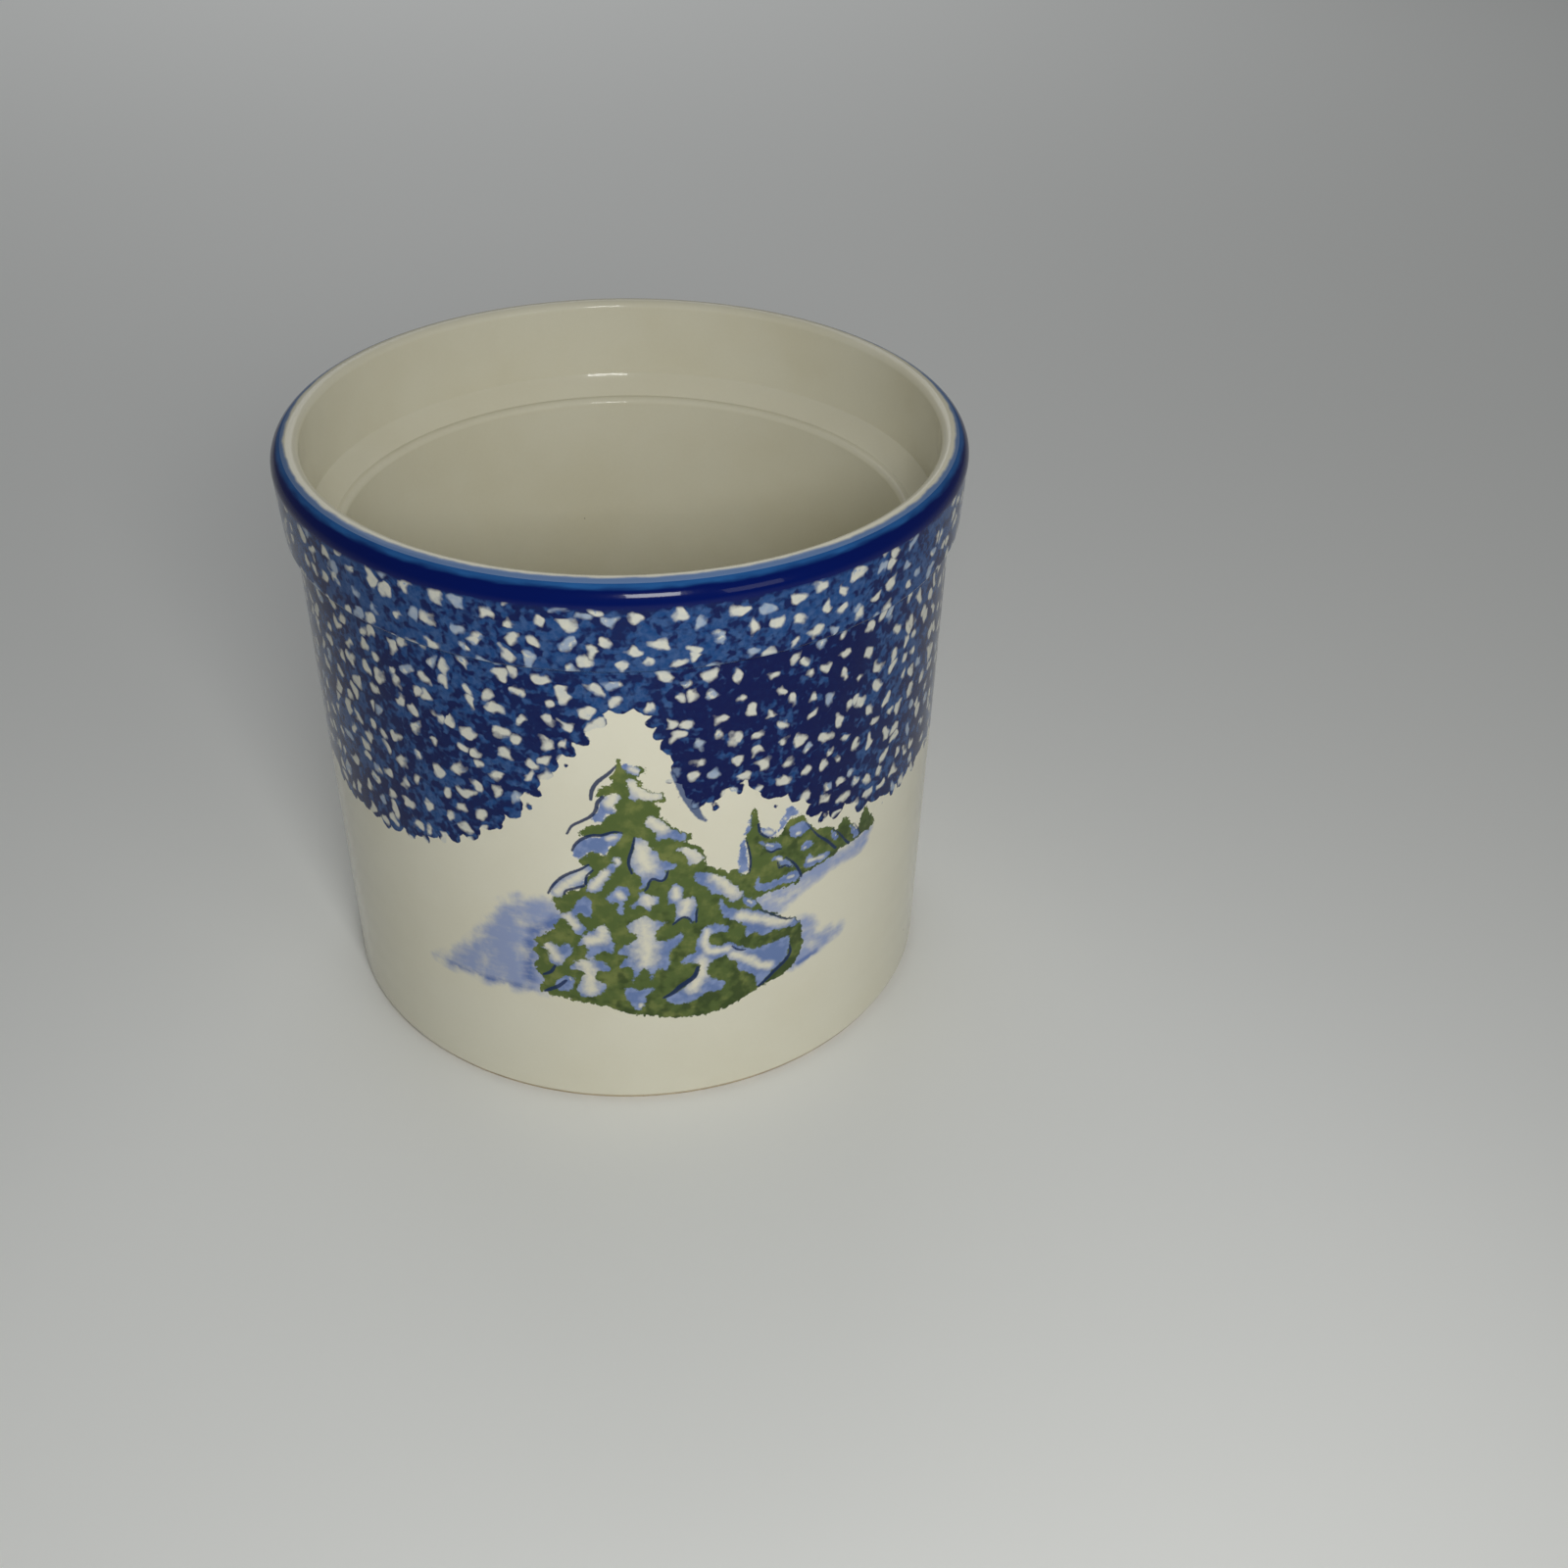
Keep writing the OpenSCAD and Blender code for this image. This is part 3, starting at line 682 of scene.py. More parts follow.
def brush(line, x, y):
    """Depth inside a brush line whose half-width follows a parabola through its three values."""
    start, middle, end, points = line
    curve = spline(points, closed=False)
    t = np.linspace(0, 1, len(curve))
    radii = start * (1 - t) * (1 - 2 * t) + middle * 4 * t * (1 - t) + end * t * (2 * t - 1)
    return -line_distance(curve, x, y, radii)


def soft_edge(depth, soft):
    """0 from soft outside an edge to 1 at soft inside it: 1/2 + depth / (2 soft), kept from 0 to 1."""
    return np.clip(0.5 + depth / (2 * soft), 0, 1)


def print_layers(arc, height):
    """Layers of the printed scene over a grid of arcs [1, column] and heights [row, 1], in millimetres."""
    reach = 3.0
    y = height - (PINE_LOW[2] - DRAWN_LOW)
    x = arc
    grid = np.broadcast(x, y).shape
    boughs, snow, ink = (np.full(grid, -reach) for _ in range(3))
    heart, wash, deep = (np.zeros(grid) for _ in range(3))
    for outline in (BIG_PINE, FAR_PINES):
        curve = spline(outline, closed=True)
        draw(boughs, curve, reach, x, y, lambda u, v: outline_depth(curve, u, v))
    for core, white, outline in SNOW:
        curve = spline(outline, closed=True)
        core = np.array(core, float)
        draw(snow, curve, reach, x, y, lambda u, v: outline_depth(curve, u, v))
        draw(heart, core, 2 * white, x, y, lambda u, v: 1 - line_distance(core, u, v) / (2 * white))
    for line in INK:
        draw(ink, line[3], reach, x, y, lambda u, v: brush(line, u, v))
    for strength, soft, outline in WASHES:
        curve = spline(outline, closed=True)
        draw(wash, curve, reach, x, y, lambda u, v: strength * soft_edge(outline_depth(curve, u, v), soft))
    for core, far in DEEP_WASHES:
        core = np.array(core, float)
        draw(deep, core, far, x, y, lambda u, v: 1 - line_distance(core, u, v) / far)
    tail = np.full(grid, -reach)
    draw(tail, TAIL[3], reach, x, y, lambda u, v: brush(TAIL, u, v))
    return dict(boughs=boughs, snow=snow, heart=heart, ink=ink, wash=wash, deep=deep, tail=tail)


def sponge_depth(arc, height):
    """Depth inside the sponged band over its lower edge, negative under it, on the same grid."""
    edge = spline(SPONGE_EDGE, closed=False, per_span=3)
    y = height - (SPONGE_LOW[2] - SPONGE_DRAWN_LOW)
    over = y > np.interp(arc, edge[:, 0], edge[:, 1])
    gap = line_distance(edge, arc, y)
    return np.clip(np.where(over, gap, -gap), -4, 4)


# ---------------------------------------------------------------------------------------------
# Materials
# ---------------------------------------------------------------------------------------------


class Amount:
    """A number that varies over a surface. Arithmetic on it adds Math nodes."""

    def __init__(self, finish, socket):
        self.finish = finish
        self.socket = socket

    def maths(self, operation, *others):
        """The result of a Math node on this number and the others."""
        node = self.finish.node("ShaderNodeMath", {"operation": operation})
        for place, item in zip(node.inputs, (self, *others)):
            self.finish.feed(place, item)
        return Amount(self.finish, node.outputs[0])

    def __add__(self, other):
        return self.maths("ADD", other)

    def __sub__(self, other):
        return self.maths("SUBTRACT", other)

    def __mul__(self, other):
        return self.maths("MULTIPLY", other)

    def __rsub__(self, other):
        return self.maths("MULTIPLY_ADD", -1.0, other)

    def __neg__(self):
        return self * -1.0

    __radd__ = __add__
    __rmul__ = __mul__

    def least(self, other):
        """The smaller of the two."""
        return self.maths("MINIMUM", other)

    def most(self, other):
        """The larger of the two."""
        return self.maths("MAXIMUM", other)

    def over(self, other):
        """1 where this is more than the other, and 0 elsewhere."""
        return self.maths("GREATER_THAN", other)

    def rise(self, low, high):
        """0 up to low, 1 from high, and an S-curve between them."""
        node = self.finish.node(
            "ShaderNodeMapRange",
            {"interpolation_type": "SMOOTHSTEP"},
            {"Value": self, "From Min": low, "From Max": high},
        )
        return Amount(self.finish, node.outputs["Result"])


class Finish:
    """A procedural material: its nodes, the surface's own coordinates and one Principled shader."""

    def __init__(self, name):
        self.material = bpy.data.materials.new(name)
        self.material.use_nodes = True
        self.tree = self.material.node_tree
        self.tree.nodes.clear()
        self.shader = self.node("ShaderNodeBsdfPrincipled")
        output = self.node("ShaderNodeOutputMaterial", {}, {"Surface": self.shader.outputs["BSDF"]})
        output.target = "ALL"
        place = self.node("ShaderNodeTexCoord").outputs["Object"]
        scaled = self.node("ShaderNodeVectorMath", {"operation": "SCALE"}, {0: place, "Scale": 1 / MM})
        self.place = scaled.outputs["Vector"]
        split = self.node("ShaderNodeSeparateXYZ", {}, {0: self.place})
        self.x, self.y, self.z = (Amount(self, split.outputs[i]) for i in range(3))

    def feed(self, socket, item):
        """Puts a number, a colour, a socket or an Amount into a socket."""
        if isinstance(item, Amount):
            item = item.socket
        if isinstance(item, bpy.types.NodeSocket):
            self.tree.links.new(item, socket)
        elif hasattr(item, "__len__") and socket.type == "RGBA":
            socket.default_value = (*item[:3], 1.0)
        else:
            socket.default_value = item

    def node(self, kind, settings=None, sockets=None):
        """A node of that type, with its settings first and then the values or links of its sockets."""
        node = self.tree.nodes.new(kind)
        for setting, value in (settings or {}).items():
            setattr(node, setting, value)
        for key, item in (sockets or {}).items():
            named = [s for s in node.inputs if key in (s.identifier, s.name)]
            self.feed(named[0] if named else node.inputs[key], item)
        return node

    def set(self, **values):
        """Sets the shader's sockets, named in words joined by underscores."""
        for key, item in values.items():
            self.feed(self.shader.inputs[key.replace("_", " ").title().replace("Ior", "IOR")], item)

    def mix(self, share, first, second):
        """The first colour where the share is 0, and the second where it is 1."""
        node = self.node(
            "ShaderNodeMix",
            {"data_type": "RGBA"},
            {"Factor_Float": share, "A_Color": first, "B_Color": second},
        )
        return next(s for s in node.outputs if s.identifier == "Result_Color")

    def noise(self, size, detail=2.0, at=None, seed=0.0):
        """Cloudy noise about 0.5, whose lumps are about size millimetres across."""
        node = self.node(
            "ShaderNodeTexNoise",
            {"noise_dimensions": "4D"},
            {"Vector": at or self.place, "W": seed, "Scale": 1 / size, "Detail": detail, "Roughness": 0.55},
        )
        return Amount(self, node.outputs["Fac"])

    def warp(self, at, size, push, seed=0.0):
        """The place moved by noise of that size, by up to push millimetres either way."""
        noise = self.node(
            "ShaderNodeTexNoise",
            {"noise_dimensions": "4D"},
            {"Vector": at, "W": seed, "Scale": 1 / size, "Detail": 1.0},
        )
        centred = self.node(
            "ShaderNodeVectorMath", {"operation": "SUBTRACT"}, {0: noise.outputs["Color"], 1: (0.5, 0.5, 0.5)}
        )
        moved = self.node(
            "ShaderNodeVectorMath",
            {"operation": "MULTIPLY_ADD"},
            {0: centred.outputs["Vector"], 1: (4 * push,) * 3, 2: at},
        )
        return moved.outputs["Vector"]

    def cells(self, at, size, stray=1.0, flat=True):
        """Scattered spots: the distance in millimetres to the nearest one, and its three random numbers."""
        node = self.node(
            "ShaderNodeTexVoronoi",
            {"voronoi_dimensions": "2D" if flat else "3D"},
            {"Vector": at, "Scale": 1 / size, "Randomness": stray},
        )
        chance = self.node("ShaderNodeSeparateColor", {}, {0: node.outputs["Color"]})
        randoms = (Amount(self, chance.outputs[i]) for i in range(3))
        return Amount(self, node.outputs["Distance"]) * size, *randoms

    def layer(self, name):
        """A point attribute of the piece."""
        node = self.node("ShaderNodeAttribute", {"attribute_name": name})
        return Amount(self, node.outputs["Fac"])

    def combine(self, x, y, z=0.0):
        """A place made of three numbers."""
        return self.node("ShaderNodeCombineXYZ", {}, {"X": x, "Y": y, "Z": z}).outputs["Vector"]

    def bump(self, height, distance, below=None):
        """A normal bent by a height of 0 to 1 that stands for distance millimetres."""
        sockets = {"Height": height, "Distance": distance * MM, "Strength": 1.0}
        if below:
            sockets["Normal"] = below
        return self.node("ShaderNodeBump", {}, sockets).outputs["Normal"]

    def glazed(self, colour, roughness, normal):
        """Glossy glass over fired clay."""
        self.set(base_color=colour, roughness=roughness, normal=normal, ior=1.5)
        self.set(coat_weight=GLAZE_COAT, coat_roughness=0.03, coat_ior=1.5)
        self.shader.inputs["Specular IOR Level"].default_value = GLAZE_SPECULAR


GLAZE_COAT = 0.25
GLAZE_SPECULAR = 0.06


def wrapped_place(finish):
    """Arc and height on the wall, in millimetres, from the front on the front half and from the back behind.

    arc = R atan2(x, -y) where y is under a ragged line near 0, and R atan2(-x, y) + half a turn elsewhere.
    """
    ragged = (finish.noise(4.0, seed=3.0) - 0.5) * 9.0
    behind = (finish.y + ragged).over(0.0)
    sign = 1.0 - behind * 2.0
    turn = (finish.x * sign).maths("ARCTAN2", -(finish.y * sign))
    arc = (turn + behind * math.pi) * ARC_R
    return arc, behind


def ivory_colour(finish, palette, warm_and_shade_share=0.35):
    """Ivory glaze: warm clouds, fine grain and a few dark specks. The liner's larger warm share is painted
    shade.
    """
    cloud = finish.noise(22.0, 3.0, seed=1.0).rise(0.35, 0.75)
    grain = finish.noise(0.5, 2.0, seed=2.0)
    colour = finish.mix((cloud * 0.6 + grain * 0.4) * warm_and_shade_share, palette.ivory, palette.ivory_warm)
    gap, chance, size, tone = finish.cells(finish.warp(finish.place, 0.5, 0.1), 6.5, flat=False)
    speck = (gap - size * 0.16 - 0.05).rise(0.08, -0.04) * chance.over(0.72)
    return finish.mix(speck * (tone * 0.5 + 0.35), colour, palette.speck)


def ivory_glaze(palette, name, warm_and_shade_share=0.35, pooled=None, stained=None):
    """Ivory glaze all over.

    pooled gives where the glaze is deeper and warmer, and stained where thin cobalt has run over it,
    both from the finish.
    """
    finish = Finish(name)
    colour = ivory_colour(finish, palette, warm_and_shade_share)
    if pooled:
        colour = finish.mix(pooled(finish), colour, palette.ivory_warm)
    if stained:
        colour = finish.mix(stained(finish), colour, palette.cobalt_thin)
    finish.glazed(colour, *glaze_skin(finish))
    return finish.material


def glaze_skin(finish):
    """Roughness and normal of a fired glaze: faint orange peel, slow waves and rare pinholes."""
    waves = finish.noise(7.0, 1.0, seed=5.0)
    peel = finish.noise(1.1, 2.0, seed=6.0)
    gap, chance, size, _ = finish.cells(finish.place, 5.0, flat=False)
    pinhole = (gap - size * 0.06).rise(0.10, 0.02) * chance.over(0.8)
    normal = finish.bump(waves, 0.05)
    normal = finish.bump(peel - pinhole * 1.5, 0.012, normal)
    roughness = 0.14 + waves * 0.06 + pinhole * 0.3
    return roughness, normal


# Spacing of the sponge's gaps, and of the dabs along the band's lower edge
SPONGE_CELL = 3.3
EDGE_DAB = 2.5


def sponge_over(finish, palette, base, depth, collar):
    """Sponged blue over a base colour.

    The sponge leaves gaps, round spots that noise pulls out of shape, and its dabs overlap in darker
    spots. At the band's lower edge only whole dabs are left, so the edge is scalloped.
    """
    arc, behind = wrapped_place(finish)
    at = finish.combine(arc, finish.z)
    bent = finish.warp(finish.warp(at, 3.0, 0.8, 7.0), 1.4, 0.3, 17.0)
    fine = finish.noise(0.42, 2.0, seed=8.0) - 0.5
    # Gaps that the sponge leaves
    gap, chance, _, tone = finish.cells(bent, SPONGE_CELL, stray=0.76)
    heavy = heavy_stamp(finish, arc, behind)
    shape = finish.noise(1.3, 2.0, seed=15.0) - 0.5
    hole_size = finish.noise(2.6, 1.0, seed=16.0) * 1.15 + 0.25 - heavy * 0.15
    hole = (hole_size - gap + shape * 0.7 + fine * 0.15).rise(-0.30, 0.32) * chance.over(0.06)
    # Overlaps between dabs
    patches = (finish.noise(9.0, 1.0, seed=10.0) - 0.5) * 0.45
    dabs = finish.noise(1.25, 1.5, at=finish.warp(at, 1.6, 0.25, 9.0), seed=18.0) + patches
    overlap = (dabs + heavy * 0.11 - collar * 0.07).rise(0.38, 0.57)
    mottle = finish.noise(1.0, 3.0, seed=11.0).rise(0.25, 0.8)
    blue = finish.mix(mottle * 0.75, palette.sponge, palette.sponge_pale_mix)
    blue = finish.mix((overlap * (0.85 + mottle * 0.15) + heavy * 0.08).least(1.0), blue, palette.sponge_dark)
    # Gaps that thin blue has run into, more often on the collar and all along its root
    root = (finish.z - collar_root_z()).maths("ABSOLUTE").rise(1.1, 0.3)
    filled = (tone - 0.84 + collar * 0.22 + (mottle - 0.5) * 0.2).rise(0.0, 0.08)
    filled = (filled + root * 0.75).most(0.16 + mottle * 0.20).least(1.0)
    gap_colour = finish.mix(filled * (0.62 + mottle * 0.3), base, palette.sponge_pale)
    colour = finish.mix(hole, blue, gap_colour)
    # The lower edge, made of whole dabs
    edge_gap = finish.cells(finish.warp(at, 1.5, 0.25, 12.0), EDGE_DAB, stray=0.8)[0]
    inside = depth + (1.10 - edge_gap) * 1.25 + shape * 0.8 + fine * 0.4
    return finish.mix(inside.rise(-0.14, 0.16), base, colour)


def collar_root_z():
    """Height of the line where the collar meets the wall, in millimetres."""
    sizes = bpy.context.scene.crock_sizes
    return (sizes.height - sizes.collar_height) / MM


# The heavy stamp on the front: its arcs from the front, its heights, and how soft its sides are
HEAVY_ARC = (4.5, 34.5)
HEAVY_Z = (46.0, 80.2)
HEAVY_SOFT = 0.8


def heavy_stamp(finish, arc, behind):
    """1 where the sponge was pressed twice: one clear patch in front and vague ones all round."""
    ragged = (finish.noise(1.8, 2.0, seed=13.0) - 0.5) * 3.2
    sides = (arc - HEAVY_ARC[0]).least(HEAVY_ARC[1] - arc)
    ends = (finish.z - HEAVY_Z[0]).least(HEAVY_Z[1] - finish.z)
    patch = (sides.least(ends) + ragged).rise(-HEAVY_SOFT, HEAVY_SOFT)
    elsewhere = (finish.noise(16.0, 1.0, seed=14.0) - 0.56).rise(-0.06, 0.10) * 0.6
    front = 1.0 - behind
    return (patch * front).most(elsewhere * (1.0 - patch * front) * (1.0 - front * 0.65))


def printed_over(finish, palette, base):
    """The winter scene: soft blue ground shadows, green boughs, snow with blue shade, and brush lines."""
    fine = finish.noise(0.35, 2.0, seed=20.0) - 0.5
    lump = finish.noise(1.4, 2.0, seed=21.0)
    drawn_out = finish.combine(finish.x * 0.18, finish.z * 0.9, finish.y * 0.1)
    streaks = finish.noise(1.0, 3.0, at=drawn_out, seed=22.0)
    wash = finish.layer("wash")
    deep = finish.layer("deep")
    ragged = (finish.noise(3.0, 3.0, seed=27.0) - 0.5) * 1.5
    wash_share = (wash * (0.50 + streaks * 0.8) + wash.rise(0.0, 0.3) * ragged).rise(0.05, 0.95)
    colour = finish.mix(wash_share, base, palette.wash)
    colour = finish.mix((deep * wash_share * (0.9 + streaks)).least(0.9), colour, palette.wash_deep)
    # Boughs
    needles = finish.noise(0.7, 2.0, seed=26.0) - 0.5
    edge = fine * 0.4 + needles * 1.5
    green = finish.mix(finish.noise(2.6, 3.0, seed=23.0).rise(0.44, 0.72), palette.bough, palette.bough_light)
    shade = (finish.noise(2.2, 2.0, seed=24.0) + (finish.x - finish.z + 22.0) * 0.006).rise(0.46, 0.66)
    green = finish.mix(shade * 0.85, green, palette.bough_dark)
    colour = finish.mix((finish.layer("boughs") + edge).rise(-0.08, 0.12), colour, green)
    # Snow
    depth = finish.layer("snow") + fine * 0.4 + needles * 1.3
    heart = (finish.layer("heart") + (lump - 0.5) * 0.7 + needles * 0.3).rise(0.18, 1.05)
    blue_share = (finish.noise(1.7, 2.0, seed=25.0) + depth * 0.10).rise(0.40, 0.66)
    snow = finish.mix(blue_share * 0.7, palette.snow_blue, palette.snow_deep)
    snow = finish.mix(heart, snow, base)
    colour = finish.mix(depth.rise(-0.16, 0.20), colour, snow)
    # Brush lines
    ink = (finish.layer("ink") + fine * 0.16).rise(-0.10, 0.08)
    return finish.mix(ink * 0.92, colour, palette.ink)


def wall_material(palette, name, printed=False, collar=False, rim_z=None):
    """Glazed wall with its sponged band, and the printed scene or the collar's blue rim where asked."""
    finish = Finish(name)
    base = ivory_colour(finish, palette)
    colour = base
    depth = finish.layer("depth")
    if printed:
        tail = (finish.layer("tail") + (finish.noise(0.5, 2.0, seed=30.0) - 0.5) * 0.4).rise(-0.15, 0.15)
        colour = finish.mix(tail * 0.85, colour, palette.sponge)
    colour = sponge_over(finish, palette, colour, depth, float(collar))
    if printed:
        colour = printed_over(finish, palette, colour)
    if collar:
        brush_edge = (finish.noise(2.4, 2.0, seed=31.0) - 0.5) * 1.2
        colour = finish.mix((finish.z - rim_z + brush_edge + 0.3).rise(-0.30, 0.45), colour, palette.cobalt)
    finish.glazed(colour, *glaze_skin(finish))
    return finish.material


def rim_material(palette, m):
    """Cobalt band: deep blue on the shoulder, thinner and lighter on the crest, streaked by the brush."""
    finish = Finish("cobalt_rim_glaze")
    brushed = finish.combine(finish.x * 0.25, finish.y * 0.25, finish.z * 2.0)
    streak = finish.noise(1.2, 2.0, at=brushed, seed=40.0)
    thin = (finish.z + (streak - 0.5) * 0.5).rise(m.height - 1.0, m.height - 0.45)
    colour = finish.mix(thin * (0.35 + streak * 0.8), palette.cobalt, palette.cobalt_thin)
    finish.glazed(colour, *glaze_skin(finish))
    return finish.material


def clay_material(palette):
    """Bare stoneware: sandy grain, darker grog and a rough, faintly pitted skin."""
    finish = Finish("bare_stoneware_clay")
    grain = finish.noise(0.35, 3.0, seed=50.0)
    cloud = finish.noise(9.0, 2.0, seed=51.0).rise(0.3, 0.75)
    colour = finish.mix(cloud * 0.35 + grain * 0.25, palette.clay, palette.clay_dark)
    gap, chance, size, _ = finish.cells(finish.place, 1.3, flat=False)
    grog = (gap - size * 0.14).rise(0.10, 0.02) * chance.over(0.55)
    colour = finish.mix(grog * 0.7, colour, palette.clay_dark)
    normal = finish.bump(grain - grog * 0.8, 0.08)
    finish.set(base_color=colour, roughness=0.78 + grain * 0.12, normal=normal, ior=1.45)
    return finish.material


def floor_material(stage):
    """Plain pale floor, matt, with the faintest clouding."""
    finish = Finish("pale_floor")
    cloud = finish.noise(300.0, 2.0, seed=60.0)
    tone = tuple(stage.floor_tone)
    colour = finish.mix(cloud * 0.5, tone, tuple(0.96 * c for c in tone))
    finish.set(base_color=colour, roughness=0.55 + cloud * 0.1)
    finish.shader.inputs["Specular IOR Level"].default_value = 0.35
    return finish.material


def palette_of(context):
    """The palette's colours as plain tuples, and the mix that tints a single dab of blue."""
    palette = context.scene.crock_palette
    tones = {name: tuple(getattr(palette, name)) for name in CrockPalette.__annotations__}
    pairs = zip(tones["sponge"], tones["sponge_pale"])
    tones["sponge_pale_mix"] = tuple(0.72 * full + 0.28 * pale for full, pale in pairs)
    return SimpleNamespace(**tones)


# ---------------------------------------------------------------------------------------------
# Half-sections, as corners [r, z, radius of the rounding]
# ---------------------------------------------------------------------------------------------


def radii(m):
    """Radii and heights that several corners share."""
    collar_low = m.collar_radius - m.collar_draft
    wall = collar_low - m.collar_step
    well = wall - m.wall
    mouth = m.collar_radius - m.lip
    return SimpleNamespace(
        collar_low=collar_low,
        collar_z=m.height - m.collar_height,
        wall=wall,
        foot=wall - m.wall_draft,
        well=well,
        well_floor=well - m.well_draft,
        mouth=mouth,
        seat_z=m.height - m.seat_depth,
        seat_hollow=min(m.seat_hollow, mouth - well - m.seat_edge),
        rim_inner=m.lip - m.rim_round,
    )


def wall_radius(m, z):
    """Radius of the glazed wall at a height: a straight line from the foot to the collar's root."""
    s = radii(m)
    return s.foot + (s.wall - s.foot) * z / s.collar_z


def wall_rows(m, heights):
    """Rows up the wall at the heights, on the line from foot to collar root."""
    s = radii(m)
    way = np.array([s.wall - s.foot, s.collar_z])
    way /= np.hypot(*way)
    return np.stack([wall_radius(m, heights), heights, 0 * heights + way[0], 0 * heights + way[1]], -1)


def foot_rows(m, rise):
    """Rows over the glaze's rounded lower end, from the clay out to the wall and up to rise over the end."""
    out = wall_radius(m, m.dry)
    bead = 0.85 * m.glaze
    corners = [
        (out - m.glaze, m.dry, 0),
        (out, m.dry, bead),
        (wall_radius(m, m.dry + rise), m.dry + rise, 0),
    ]
    return rounded_path(corners, step=rise, arc_step=bead / 4)


def wall_back(m, low, high):
    """The wall coat's hidden side, from high down to low, one coat of glaze behind its face."""
    return np.array([(wall_radius(m, z) - m.glaze, z) for z in np.linspace(high, low, 7)])


def root_z(m):
    """Height at which the wall's pieces end and the collar's piece starts, a lap under the root's hollow."""
    return radii(m).collar_z - m.collar_root - ROOT_LAP


def arcs(low, high, step):
    """Angles from one arc to another, in millimetres round the wall."""
    return np.linspace(low, high, max(2, round((high - low) / step) + 1)) / ARC_R


def ring_angles(count):
    """Angles of a full turn that starts at the back."""
    return -math.pi + np.arange(count) * TURN / count


# The front panel that holds the printed scene: its arcs, and the arcs and heights drawn finely
PANEL = (-45.0, 50.0)
FINE_ARC = (-18.0, 40.5)
FINE_Z = (15.5, 66.5)
FINE = 0.26
PLAIN = 0.55
# Spacing of the plain rows under the scene
LOW_ROWS = 0.7
# Height at which the side walls change from plain ivory to sponged
BREAK_Z = 42.0
# How far under the hollow of the collar's root the collar's piece starts
ROOT_LAP = 0.4
# Height of the rows over the glaze's lower end, and how far over that end the hidden side starts
FOOT_RISE = 1.0
FOOT_TUCK = 0.05


# ---------------------------------------------------------------------------------------------
# Operators, one for each piece or group of like pieces
# ---------------------------------------------------------------------------------------------


class CROCK_OT_clay(Operator):
    """Turn the fired clay body, with its bare foot ring and recess"""

    bl_idname = "crock.clay"
    bl_label = "Clay Body"

    def execute(self, context):
        m = measures(context)
        s = radii(m)
        g = m.glaze
        inner_foot = m.recess_radius + m.recess / 2
        corners = [
            (0, m.recess, 0),
            (m.recess_radius, m.recess, 0.5 * m.recess),
            (inner_foot, 0, m.foot_inner),
            (s.foot - g, 0, m.foot_edge),
            (s.wall - g, s.collar_z + g, m.collar_root),
            (s.collar_low - g, s.collar_z + g, m.collar_edge / 2),
            (m.collar_radius - g, m.height - g, m.rim_round - g),
            (s.mouth + g, m.height - g, s.rim_inner - g),
            (s.mouth + g, s.seat_z - g, s.seat_hollow),
            (s.well + g, s.seat_z - g, m.seat_edge - g),
            (s.well_floor + g, m.floor - g, m.floor_hollow),
            (0, m.floor - g, 0),
        ]
        section = rounded_path(corners, step=1.6, arc_step=0.3)
        piece = turned_shell(m, "clay_body", section, np.zeros((0, 2)), ring_angles(288), ring=True)
        finish_piece(piece, clay_material(palette_of(context)), "bare_stoneware", "stoneware_body")
        return {"FINISHED"}


class CROCK_OT_liner(Operator):
    """Pour the ivory glaze over the crest, the mouth, the seat, the well and the floor"""

    bl_idname = "crock.liner"
    bl_label = "Ivory Liner"

    def execute(self, context):
        m = measures(context)
        s = radii(m)
        g = m.glaze
        start_z = crest_z(m, m.band_edge, depth=0)
        front = crest_rows(m)
        inside = rounded_path(
            [
                (front[-1, 0], m.height, 0),
                (s.mouth, m.height, s.rim_inner * 0.999),
                (s.mouth, s.seat_z, s.seat_hollow),
                (s.well, s.seat_z, m.seat_edge),
                (s.well_floor, m.floor, m.floor_hollow),
                (0, m.floor, 0),
            ],
            step=0.9,
        )
        front = np.vstack([front[:-1], inside])
        back = np.array(
            [
                (0, m.floor - g),
                (s.well_floor - m.floor_hollow, m.floor - g),
                (s.well_floor + g, m.floor + m.floor_hollow),
                (s.well + g, s.seat_z - m.seat_edge),
                (s.mouth - s.seat_hollow, s.seat_z - g),
                (s.mouth + g, s.seat_z + s.seat_hollow),
                (s.mouth + g, m.height - s.rim_inner),
                (m.band_edge - 0.1, start_z - g),
            ]
        )

        def pooled(finish):
            seat = (finish.z - s.seat_z - 1.0).maths("ABSOLUTE").rise(3.0, 0.6)
            crest = (finish.z - m.height + 0.9).rise(0.0, 0.8)
            floor = (finish.z - m.floor).rise(5.0, 0.5)
            return seat * 0.15 + crest * 0.2 + floor * 0.4

        def stained(finish):
            radius = (finish.x * finish.x + finish.y * finish.y).maths("SQRT")
            edge = m.band_edge - 0.62 + finish.y * 0.007 + (finish.noise(3.5, 2.0, seed=42.0) - 0.5) * 0.7
            outside = (finish.z - m.height + 1.2).rise(0.0, 0.1)
            return (radius - edge).rise(-0.25, 0.30) * outside * 0.85

        piece = turned_shell(m, "ivory_liner", front, back, ring_angles(320), ring=True)
        # The warm share of 0.55, against the outer wall's 0.35, paints the whole inside a little darker and
        # warmer: painted shade.
        material = ivory_glaze(palette_of(context), "ivory_liner_glaze", 0.55, pooled, stained)
        finish_piece(piece, material, "ivory_glaze", "liner_glaze")
        return {"FINISHED"}


def crest_z(m, r, depth):
    """Height on the rim's outer rounding at a radius, a depth behind the glazed face."""
    across = r - (m.collar_radius - m.rim_round)
    return m.height - m.rim_round + math.sqrt((m.rim_round - depth) ** 2 - across**2)


